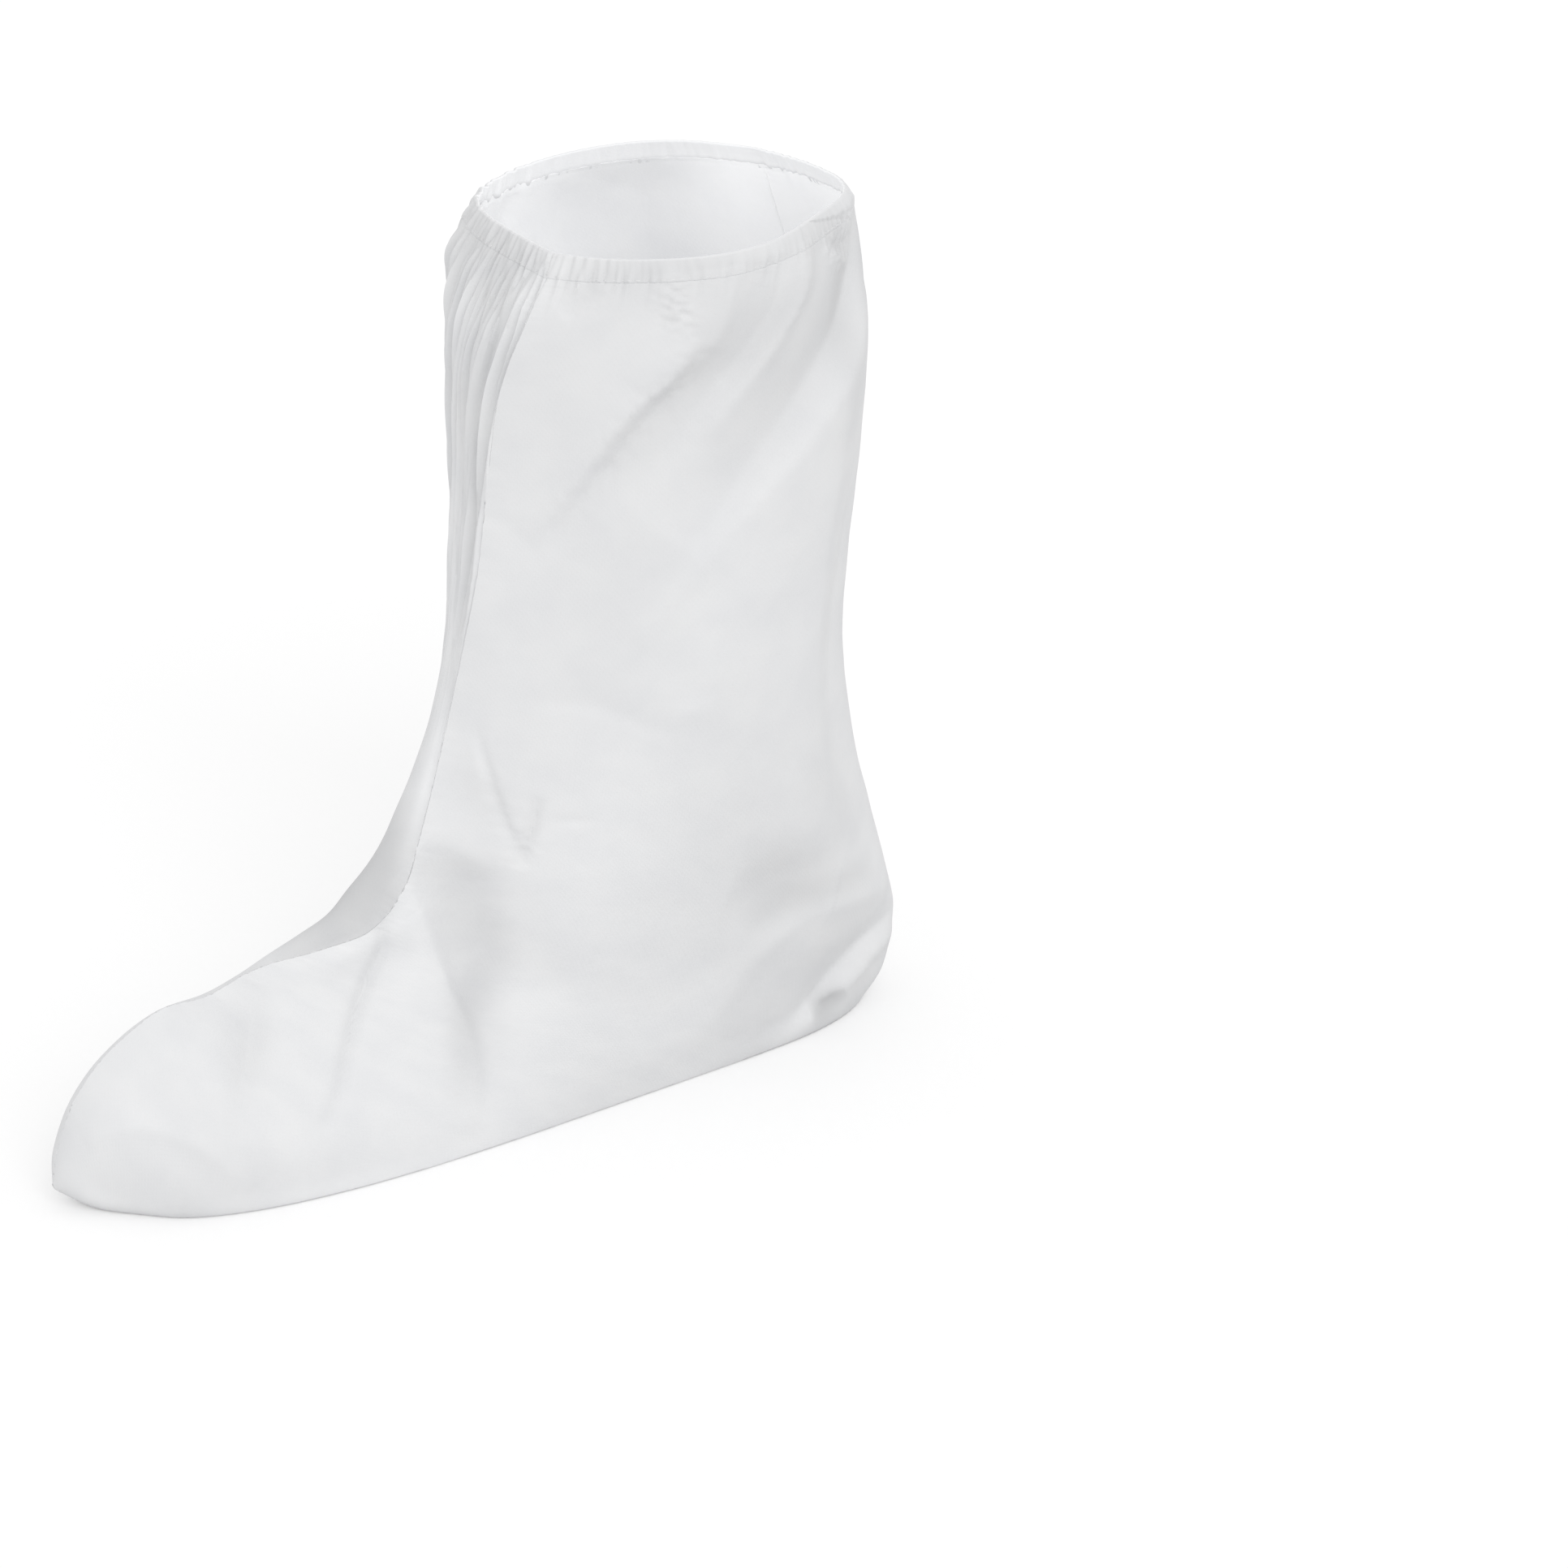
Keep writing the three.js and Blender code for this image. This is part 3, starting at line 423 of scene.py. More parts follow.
@dataclass(frozen=True)
class Gathers:
    """Cloth drawn together along the hem line, as waves that run out down the panel.

    Heights, widths and sizes are millimetres on the laid-out cloth, with full_run as a
    round figure for the run from the rim to the toe tip. Lengths and the flutes' spans are
    shares of that run; left_fade and right_fade are half turns from the front seam.
    """

    half_round: float = 245.0
    full_run: float = 1000.0
    rim_share: float = 0.45
    rise_start: float = 0.3 * HEM_LINE
    pucker_size: Triple = (2.6, 60.0, 1.0)
    pucker_fall: float = 1.3
    left_height: float = 2.2
    left_length: float = 0.022
    left_fade: Span = (0.12, 0.2)
    left_back_share: float = 0.5
    right_height: float = 2.4
    right_length: float = 0.06
    right_fade: Span = (0.40, 0.66)
    right_back_share: float = 0.25
    flute_height: float = 4.2
    flute_size: Triple = (3.5, 110.0, 1.0)
    flute_top_share: float = 0.25
    flute_rise: Span = (0, 0.05)
    flute_fade: Span = (0.20, 0.36)
    flute_sink: float = 0.15
    fine_flute_size: Triple = (1.75, 50.0, 1.0)
    fine_flute_share: float = 0.45
    ruffle_height: float = 0.4
    ruffle_size: Triple = (30.0, 4.939, 1.0)
    ruffle_width: float = 6.0
    ruffle_fall: float = 1.2

    def lift(self, along: np.ndarray, turn: np.ndarray) -> np.ndarray:
        """How far the gathers lift the cloth.

        Args:
            along: Share of the way from the rim to the toe tip.
            turn: Half turns round the section from the front seam by the left side.

        Returns:
            The lift in millimetres.
        """
        along, turn = np.broadcast_arrays(along, turn)
        on_left = turn <= 1
        across = np.where(on_left, turn, 2 - turn)
        run = turn * self.half_round
        below = np.maximum(along - HEM_LINE, 0)
        place = np.stack([run, along * self.full_run, np.zeros_like(run)], -1)
        right_front = 1 - smooth_step(across, *self.right_fade)
        left_front = 1 - smooth_step(turn, *self.left_fade)
        rise = at_least(self.rim_share, smooth_step(along, self.rise_start, HEM_LINE))
        length = np.where(on_left, self.left_length, self.right_length)
        height = np.where(
            on_left,
            self.left_height * at_least(self.left_back_share, left_front),
            self.right_height * at_least(self.right_back_share, right_front),
        )
        pucker = noise_at(place, self.pucker_size, Pattern.PUCKER)
        lift = height * rise * np.exp(-((below / length) ** self.pucker_fall)) * pucker
        lift = lift + self.flutes(along, below, place, np.where(on_left, 0, right_front))
        ruffle = noise_at(place, self.ruffle_size, Pattern.RUFFLE)
        near_seam = np.minimum(across, 1 - across) * self.half_round / self.ruffle_width
        return lift + self.ruffle_height * ruffle * np.exp(-(near_seam**self.ruffle_fall))

    def flutes(
        self, along: np.ndarray, below: np.ndarray, place: np.ndarray, share: np.ndarray
    ) -> np.ndarray:
        """The long irregular flutes down the front of the right panel.

        Args:
            along: Share of the way from the rim to the toe tip.
            below: How far that is below the hem line.
            place: The place on the laid-out cloth, in millimetres round and down.
            share: How much of the flutes each place has.

        Returns:
            The lift in millimetres.
        """
        if not np.any(share > 0):
            return np.zeros_like(share)
        strength = at_least(self.flute_top_share, smooth_step(below, *self.flute_rise))
        strength = strength * (1 - smooth_step(along, *self.flute_fade))
        swing = noise_at(place, self.flute_size, Pattern.FLUTE)
        fine = noise_at(place, self.fine_flute_size, Pattern.FINE_FLUTE)
        swing = swing + self.fine_flute_share * fine
        return self.flute_height * strength * share * (swing - self.flute_sink)


@dataclass(frozen=True)
class Crumple:
    """The slight unevenness of handled cloth, as layers of noise in millimetres."""

    broad_size: float = 60.0
    broad_height: float = 0.6
    fine_size: float = 15.0
    fine_height: float = 0.22

    def lift(self, points: np.ndarray) -> np.ndarray:
        """How far the unevenness lifts the cloth at each point, in millimetres."""
        broad = self.broad_height * noise_at(points, (self.broad_size,) * 3, Pattern.BROAD)
        return broad + self.fine_height * noise_at(points, (self.fine_size,) * 3, Pattern.FINE)


@dataclass(frozen=True)
class RimShape:
    """How the elastic has drawn the rim out of its plain oval.

    Each bend is an angle in degrees round the opening, from the toe's side towards the left,
    and how many millimetres the rim stands out there. The fade is the stretch of the cover
    over which this shape runs out.
    """

    bends: Path = (
        (-44, 3), (-23, -5), (-2, -9), (12, -7), (34, -2), (60, 0), (84, 3), (97, 1),
        (117, -5), (133, -4), (152, 3), (165, -2), (190, -6), (208, -5), (228, -2),
        (241, 2), (262, 2), (290, 2),
    )
    blur_steps: tuple[float, ...] = (-10.5, -3.5, 3.5, 10.5)
    raised: float = 3.0
    fade: Span = (0.3 * HEM_LINE, 0.16)

    def out(self, around: np.ndarray) -> np.ndarray:
        """How far the rim stands out.

        Args:
            around: Angles round the opening, in radians.

        Returns:
            The distance at each angle, in millimetres.
        """
        angles, shifts = np.array(self.bends, float).T
        degrees = np.degrees(around)
        total = np.zeros_like(degrees)
        for step in self.blur_steps:
            total += np.interp(degrees + step, angles, shifts, period=360)
        return total / len(self.blur_steps)

    def share(self, along: np.ndarray) -> np.ndarray:
        """How much of the rim's shape is left at a place along the cover."""
        return 1 - smooth_step(along, *self.fade)


@dataclass
class CoverForm:
    """The outside of the whole cover, as a function of the place along it and round it.

    Sizes are millimetres, apart from the flat turns in degrees, the ridges' spread in
    radians and the probes, which are small steps along and round the cover. fold_reach is
    in widths of the fold.
    """

    centre_x: float = 186.8
    centre_y: float = -1.8
    ridge_spread: float = 0.3
    left_flat_turn: float = 40.0
    right_flat_turn: float = 22.0
    fullness: float = 0.8
    ruffle_size: float = 2.6
    ruffle_reach: float = 6.0
    # Painted light on the gathers' crests and painted shade in their hollows, a share per
    # millimetre of lift within gather_span.
    gather_painted_shading: float = 0.03
    gather_span: Span = (-3, 2)
    calm_end: float = 3 * HEM_LINE
    foot_span: Span = (-3.5, 14.0)
    fold_steps: int = 18
    fold_reach: float = 3.0
    probe: float = 0.0005
    turn_probe: float = 0.02
    rim: RimShape = RimShape()
    gathers: Gathers = Gathers()
    crumple: Crumple = Crumple()

    def __post_init__(self) -> None:
        """Keeps the section table as numbers and lays the folds' lines on the cover."""
        self.table = np.array([astuple(section) for section in SECTIONS.values()], float)
        self.laid = [(fold, *self.lay_fold(fold)) for fold in FOLDS.values()]

    def sections_at(self, along: np.ndarray) -> dict[str, np.ndarray]:
        """The section's values at places between the table's rows.

        Args:
            along: Shares of the way from the rim to the toe tip.

        Returns:
            One array shaped like along for each column of the table.
        """
        mixed = through(self.table, np.clip(along, 0, 1) * LAST_SECTION)
        names = [column.name for column in fields(Section)]
        return {name: mixed[..., i] for i, name in enumerate(names)}

    def plain(self, along: np.ndarray, turn: np.ndarray) -> np.ndarray:
        """Points of the cover before folds, with the sole pressed flat.

        Args:
            along: Shares of the way from the rim to the toe tip.
            turn: Half turns round the section, broadcast against along.

        Returns:
            The points in millimetres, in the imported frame.
        """
        s = self.sections_at(along)
        depth_x, depth_z = s["front_x"] - s["back_x"], s["front_z"] - s["back_z"]
        depth = np.hypot(depth_x, depth_z) + TINY
        whole = np.mod(turn, 2.0) * math.pi
        around = whole + np.radians(s["seam_turn"])
        ahead, aside = np.cos(around), np.sin(around)
        from_front = np.minimum(whole, 2 * math.pi - whole)
        ridge = s["front_ridge"] * np.exp(-from_front / self.ridge_spread)
        ridge = ridge + s["back_ridge"] * np.exp(-np.abs(whole - math.pi) / self.ridge_spread)
        on_left = whole <= math.pi
        flattest = np.where(on_left, self.left_flat_turn, self.right_flat_turn)
        near = from_front / np.radians(flattest)
        flat = np.where(on_left, s["left_flat"], s["right_flat"])
        kept = 1 - flat * near * np.exp(1 - near)
        half = np.where(aside >= 0, s["left_half"], s["right_half"])
        run = (depth / 2 + ridge) * ahead * kept
        side = (half * (1 - s["sole_spread"] * ahead) + ridge) * aside * kept
        drawn = self.rim.share(along)
        out = self.rim.out(around) * drawn
        run, side = run + out * ahead, side + out * aside
        x = (s["front_x"] + s["back_x"]) / 2 + depth_x / depth * run - self.centre_x
        z = (s["front_z"] + s["back_z"]) / 2 + depth_z / depth * run + self.rim.raised * drawn
        y = s["shift_y"] + side - self.centre_y
        return np.stack(np.broadcast_arrays(x, y, np.maximum(z, 0)), -1)

    def outward(self, along: np.ndarray, turn: np.ndarray) -> np.ndarray:
        """Directions straight out of the cloth before folds.

        Args:
            along: Shares of the way from the rim to the toe tip.
            turn: Half turns round the section, broadcast against along.

        Returns:
            A direction for each of the points that plain gives.
        """
        down = self.plain(along + self.probe, turn) - self.plain(along - self.probe, turn)
        ahead = self.plain(along, turn + self.turn_probe)
        return unit(np.cross(down, ahead - self.plain(along, turn - self.turn_probe)))

    def lay_fold(self, fold: Fold) -> tuple[np.ndarray, np.ndarray]:
        """Lays a fold's line on the plain cover.

        Args:
            fold: The fold.

        Returns:
            The points of the line and the direction out of the cloth at each.
        """
        corners = np.array(fold.path, float)
        row = np.linspace(0, len(corners) - 1, self.fold_steps + 1)
        along, turn = through(corners, row).T
        return self.plain(along, turn), self.outward(along, turn)

    def folds(self, points: np.ndarray, turn: np.ndarray) -> tuple[np.ndarray, np.ndarray]:
        """What all folds do to the cloth, with their painted shade kept to the panel they lie on.

        Args:
            points: Points of the plain cover, in millimetres.
            turn: Half turns round the section, broadcast against the grid of points.

        Returns:
            The lift at each point in millimetres, and the share of light taken out of the colour
            there as painted shade.
        """
        flat = points.reshape(-1, 3)
        lift, shade = np.zeros(len(flat)), np.zeros(len(flat))
        on_left = (np.broadcast_to(turn, points.shape[:-1]) % 2 <= 1).ravel()
        for fold, line, outwards in self.laid:
            reach = self.fold_reach * max(fold.upper_wide, fold.lower_wide)
            inside = (flat > line.min(0) - reach).all(1) & (flat < line.max(0) + reach).all(1)
            profile, ruffle = self.profile(fold, line, outwards, flat[inside])
            lift[inside] += fold.lift * profile + fold.ruffle * ruffle
            # Painted shade, kept to the panel that the fold lies on.
            shade[inside] += fold.shade * profile * (on_left[inside] == fold.on_left)
        return lift.reshape(points.shape[:-1]), shade.reshape(points.shape[:-1])

    def profile(
        self, fold: Fold, line: np.ndarray, outwards: np.ndarray, points: np.ndarray
    ) -> tuple[np.ndarray, np.ndarray]:
        """The shape of one fold over the cloth near it.

        Args:
            fold: The fold.
            line: The points of its line.
            outwards: The direction out of the cloth at each of them.
            points: The points to lift, in millimetres.

        Returns:
            The fold's profile at each point, from 0 to 1, and its fine crumple.
        """
        distance = np.full(len(points), np.inf)
        below, share = np.zeros(len(points)), np.zeros(len(points))
        runs = np.concatenate([[0.0], np.cumsum(np.linalg.norm(np.diff(line, axis=0), axis=1))])
        for step in range(self.fold_steps):
            stride = line[step + 1] - line[step]
            offset = points - line[step]
            reach = np.clip(offset @ stride / (stride @ stride), 0, 1)
            offset = offset - reach[:, None] * stride
            length = np.linalg.norm(offset, axis=1)
            lower_side = unit(np.cross(outwards[step], stride))
            nearer = length < distance
            facing = 0.5 + 0.5 * (offset @ lower_side) / np.maximum(length, TINY)
            below = np.where(nearer, facing, below)
            run = runs[step] + reach * (runs[step + 1] - runs[step])
            share = np.where(nearer, run / runs[-1], share)
            distance = np.where(nearer, length, distance)
        lower = smooth_step(below, 0, 1)
        wide = fold.upper_wide + (fold.lower_wide - fold.upper_wide) * lower
        growth = np.minimum(share / fold.peak, (1 - share) / (1 - fold.peak))
        growth = np.sin(growth * math.pi / 2) ** self.fullness
        profile = growth * np.exp(-((distance / wide) ** fold.flat))
        if not fold.ruffle:
            return profile, np.zeros_like(profile)
        crumple = noise_at(points, (self.ruffle_size,) * 3, Pattern.FOLD_CRUMPLE)
        return profile, growth * crumple * np.exp(-((distance / self.ruffle_reach) ** 2))

    def outer(self, along: np.ndarray, turn: np.ndarray) -> tuple[np.ndarray, np.ndarray]:
        """The outside with folds, gathers and unevenness.

        Args:
            along: Shares of the way from the rim to the toe tip.
            turn: Half turns round the section, broadcast against along.

        Returns:
            The points in millimetres, and the painted shading at each: painted shade in
            hollows and shaded stretches, and a little painted light on crests.
        """
        points = self.plain(along, turn)
        folds, shade = self.folds(points, turn)
        gathers = self.gathers.lift(along, turn)
        calm = smooth_step(along, 0, self.calm_end)
        lift = folds + gathers + self.crumple.lift(points) * calm
        lift = lift * smooth_step(points[..., 2], *self.foot_span)
        # Painted shading: the folds' painted shade, with painted light on the gathers' crests and
        # painted shade in their hollows.
        tone = 1 - shade + self.gather_painted_shading * np.clip(gathers, *self.gather_span)
        lifted = points + self.outward(along, turn) * lift[..., None]
        floor = np.where(points[..., 2] <= 0, 0.0, np.maximum(lifted[..., 2], 0.0))
        lifted[..., 2] = floor
        return lifted, tone


def new_object(name: str, data: bpy.types.ID) -> bpy.types.Object:
    """Makes an object of a mesh, a light or a camera and links it to the scene.

    Args:
        name: The object's name.
        data: What it shows.

    Returns:
        The object, at the origin.
    """
    made = bpy.data.objects.new(name, data)
    bpy.context.scene.collection.objects.link(made)
    return made


def mesh_piece(
    name: str, points: np.ndarray, faces: Faces, uv: np.ndarray, shades: dict[str, np.ndarray]
) -> bpy.types.Object:
    """Makes a smooth-shaded mesh object from points in millimetres.

    Args:
        name: The piece's name.
        points: Its points, n by three.
        faces: The corner indices of each face.
        uv: A cloth coordinate for each point, in metres.
        shades: The values at each point of each named grey attribute: the painted glow and the
            painted shading.

    Returns:
        The object, linked to the scene.
    """
    mesh = bpy.data.meshes.new(name)
    mesh.from_pydata((points * MM).tolist(), [], faces)
    for shade, values in shades.items():
        colour = np.repeat(values[:, None], 4, axis=1).astype(np.float32)
        colour[:, 3] = 1
        layer = mesh.color_attributes.new(shade, "FLOAT_COLOR", "POINT")
        layer.data.foreach_set("color", colour.ravel())
    corners = np.zeros(len(mesh.loops), np.int32)
    mesh.loops.foreach_get("vertex_index", corners)
    layer = mesh.uv_layers.new(name=UV_MAP)
    layer.data.foreach_set("uv", uv[corners].astype(np.float32).ravel())
    mesh.shade_smooth()
    mesh.set_sharp_from_angle(angle=SHARP_ANGLE)
    mesh.validate()
    return new_object(name, mesh)


def grid_faces(index: np.ndarray, turned: bool = False) -> Faces:
    """Quads between neighbouring points of a grid.

    Args:
        index: The grid's point indices, rows by columns.
        turned: Whether the faces look the other way.

    Returns:
        The faces.
    """
    corners = [index[:-1, :-1], index[1:, :-1], index[1:, 1:], index[:-1, 1:]]
    if turned:
        corners.reverse()
    return list(map(tuple, np.stack(corners, -1).reshape(-1, 4).tolist()))


def edge_faces(fine: np.ndarray, coarse: np.ndarray, turned: bool = False) -> Faces:
    """Five-sided faces between an edge and one with half as many steps.

    Args:
        fine: Point indices along the finer edge.
        coarse: Point indices along the coarser edge.
        turned: Whether the faces look the other way.

    Returns:
        The faces.
    """
    corners = [fine[:-2:2], fine[1:-1:2], fine[2::2], coarse[1:], coarse[:-1]]
    if turned:
        corners.reverse()
    return list(map(tuple, np.stack(corners, -1).tolist()))


@dataclass
class CoverCloth:
    """The outside and inside of both panels as one closed round of grid points.

    Each busy stretch is its place, its width and the extra density of the grid there. The
    inner wall glows as painted light that stands for the light coming through the cloth: it is
    weakest at dim_turn, in half turns round, and falls with the depth below the hem.
    """

    form: CoverForm
    rows: int = 381
    left_columns: int = 200
    right_columns: int = 200
    busy_rows: tuple[Triple, ...] = ((0, 0.05, 1.6), (0.1, 0.12, 0.4), (0.45, 0.13, 0.8))
    busy_left: tuple[Triple, ...] = ((0, 0.02, 2.5), (1, 0.02, 2))
    busy_right: tuple[Triple, ...] = ((0, 0.02, 2), (0.8, 0.22, 1.0), (1, 0.02, 2.5))
    thickness: float = 1.3
    smoothed_columns: int = 4
    valley_share: float = 1.2
    valley_reach: int = 2
    seam_span: Span = (0.02, 0.06)
    tuck_height: float = 1.4
    tuck_depth: float = 1.1
    edge_inset: float = 0.1
    dim_turn: float = 1.25
    dim_span: Span = (0.02, 0.21)
    least_light: float = 0.25
    front_light: float = 0.76
    depth_loss: float = 0.45
    depth_span: Span = (0.02, 0.14)

    def __post_init__(self) -> None:
        """Lays the grid and works out both sides of the cloth."""
        down = HEM_LINE + (1 - HEM_LINE) * packed_steps(self.rows, self.busy_rows)
        left = packed_steps(self.left_columns, self.busy_left)
        right = packed_steps(self.right_columns, self.busy_right)
        self.turns = np.concatenate([left[:-1], 1 + right[:-1]])
        points, tone = self.form.outer(down[:, None], self.turns[None, :])
        self.outside = self.tucked(points)
        # Painted shading of the outer wall, the tucked row taking that of the first.
        self.tone = np.concatenate([tone[:1], tone])
        down = np.concatenate([down[:1], down])
        # Painted glow on the inner wall, standing for the light through the cloth.
        light_down = 1 - self.depth_loss * smooth_step(down, *self.depth_span)
        self.lit = light_down[:, None] * self.light_round(self.turns, self.least_light)
        outwards = self.grid_outwards(self.outside)
        sides = range(-self.smoothed_columns, self.smoothed_columns + 1)
        self.outwards = unit(sum(np.roll(outwards, side, axis=1) for side in sides))
        self.inside = self.outside - self.depth()[..., None] * self.outwards
        self.inside[..., 2] = np.maximum(self.inside[..., 2], self.thickness)

    def light_round(self, turns: np.ndarray, least: float) -> np.ndarray:
        """How the painted glow that stands for light through the cloth varies round the opening.

        Args:
            turns: Half turns round the section.
            least: The share that the dimmest place gets.

        Returns:
            The share of the light at each place.
        """
        away = np.abs(turns - self.dim_turn)
        away = np.minimum(away, 2 - away)
        most = np.where((turns - self.dim_turn) % 2 < 1, self.front_light, 1)
        return least + (most - least) * smooth_step(away, *self.dim_span)

    def depth(self) -> np.ndarray:
        """How deep the inner wall lies, deeper under sharp valleys that it steps across.

        Returns:
            The depth below each point of the outside, in millimetres.
        """
        reach = self.valley_reach
        ring = [(i, j) for i in (-reach, 0, reach) for j in (-reach, 0, reach) if i or j]
        mean = sum(np.roll(self.outside, shift, axis=(0, 1)) for shift in ring) / len(ring)
        valley = ((mean - self.outside) * self.outwards).sum(-1)
        valley[: reach + 1], valley[-reach - 1 :] = 0, 0
        steps = range(-reach, reach + 1)
        near = [np.roll(valley, (i, j), axis=(0, 1)) for i in steps for j in steps]
        to_seam = np.minimum(self.turns % 1, 1 - self.turns % 1)
        share = self.valley_share * smooth_step(to_seam, *self.seam_span)
        return self.thickness + share * np.clip(np.max(near, axis=0), 0, self.thickness)

    def tucked(self, points: np.ndarray) -> np.ndarray:
        """Adds a first row that runs up inside the hem's casing.

        Args:
            points: The grid of the outside, from the hem line down.

        Returns:
            The grid with that row above it.
        """
        inward = unit(points[0].mean(0) - points[0])
        top = points[0] + self.tuck_depth * inward + np.array([0, 0, self.tuck_height])
        edge = points[0] + self.edge_inset * inward
        return np.concatenate([top[None], edge[None], points[1:]])

    def grid_outwards(self, points: np.ndarray) -> np.ndarray:
        """The direction out of the folded cloth at each point of a closed grid.

        Args:
            points: The grid, rows down by columns round.

        Returns:
            The directions.
        """
        down = np.gradient(points, axis=0)
        round_it = np.roll(points, -1, axis=1) - np.roll(points, 1, axis=1)
        return unit(np.cross(down, round_it))

    def columns(self, side: Side) -> np.ndarray:
        """The grid columns of one panel, from the first seam to the other.

        Args:
            side: Which panel.

        Returns:
            The numbers of its columns.
        """
        count = self.left_columns + self.right_columns
        if side is Side.LEFT:
            return np.arange(self.left_columns + 1)
        return np.arange(self.left_columns, count + 1) % count


@dataclass
class SidePanel:
    """One side of the cover, cut in one piece from the opening to the toe.

    The seams' sizes and the tip's reach are millimetres, and the flat size is metres.
    """

    cloth: CoverCloth
    side: Side
    seam_sink: float = 0.02
    seam_width: float = 0.7
    tip_reach: float = 0.4
    flat_width: float = 0.41
    flat_length: float = 0.46

    def build(self) -> bpy.types.Object:
        """Makes the panel's closed shell with its cloth coordinates.

        Returns:
            The panel.
        """
        columns = self.cloth.columns(self.side)
        outside = self.cloth.outside[:, columns]
        across = laid_length(outside, 1)
        to_seam = np.minimum(across, across[:, -1:] - across)
        sink = self.seam_sink * np.exp(-((to_seam / self.seam_width) ** 2))
        outside -= self.cloth.outwards[:, columns] * sink[..., None]
        outside[..., 2] = np.maximum(outside[..., 2], 0)
        inside = self.cloth.inside[:, columns][::2, ::2]
        rows, width = outside.shape[:2]
        outer = np.arange(rows * width).reshape(rows, width)
        inner = outer.size + np.arange(inside[..., 0].size).reshape(inside.shape[:2])
        tips = np.stack([outside[-1].mean(0), inside[-1].mean(0)])
        tips[0, 0] += self.tip_reach
        points = np.concatenate([outside.reshape(-1, 3), inside.reshape(-1, 3), tips])
        middle = width // 2
        down = np.broadcast_to(laid_length(outside, 0)[:, middle : middle + 1], across.shape)
        grid_uv = np.stack([across, down], -1) * MM
        tip_uv = np.array([[across[-1, middle], down[-1, 0]]] * 2) * MM
        uv = [grid_uv.reshape(-1, 2), grid_uv[::2, ::2].reshape(-1, 2), tip_uv]
        # Painted shading on the outer wall; painted glow on the inner wall.
        tone = np.ones(len(points))
        tone[: outer.size] = self.cloth.tone[:, columns].ravel()
        lit = self.cloth.lit[:, columns][::2, ::2].ravel()
        lit = np.concatenate([np.zeros(outer.size), lit, [0.0, lit[-1]]])
        name = f"{self.side.value}_panel_cloth"
        shades = {PAINTED_GLOW: lit, PAINTED_SHADING: tone}
        return mesh_piece(name, points, self.faces(outer, inner), np.concatenate(uv), shades)

    def faces(self, outer: np.ndarray, inner: np.ndarray) -> Faces:
        """Joins the outer and inner wall into a closed shell.

        Args:
            outer: Point indices of the outer wall, rows by columns.
            inner: Those of the inner wall, with half as many steps. The outer and then the
                inner tip are the next two points.

        Returns:
            The faces.
        """
        outer_tip = int(inner[-1, -1]) + 1
        inner_tip = outer_tip + 1
        faces = grid_faces(outer) + grid_faces(inner, turned=True)
        faces += edge_faces(outer[0], inner[0], turned=True)
        faces += edge_faces(outer[:, 0], inner[:, 0])
        faces += edge_faces(outer[:, -1], inner[:, -1], turned=True)
        outer_end, inner_end = outer[-1].tolist(), inner[-1].tolist()
        faces += [(a, outer_tip, b) for a, b in zip(outer_end, outer_end[1:])]
        faces += [(b, inner_tip, a) for a, b in zip(inner_end, inner_end[1:])]
        faces.append((outer_end[0], inner_end[0], inner_tip, outer_tip))
        faces.append((inner_end[-1], outer_end[-1], outer_tip, inner_tip))
        return faces

    def declare(self, piece: bpy.types.Object) -> None:
        """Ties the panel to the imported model.

        Args:
            piece: The panel's object.
        """
        node = f"{self.side.value}_panel"
        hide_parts(node)
        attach(piece, "root")


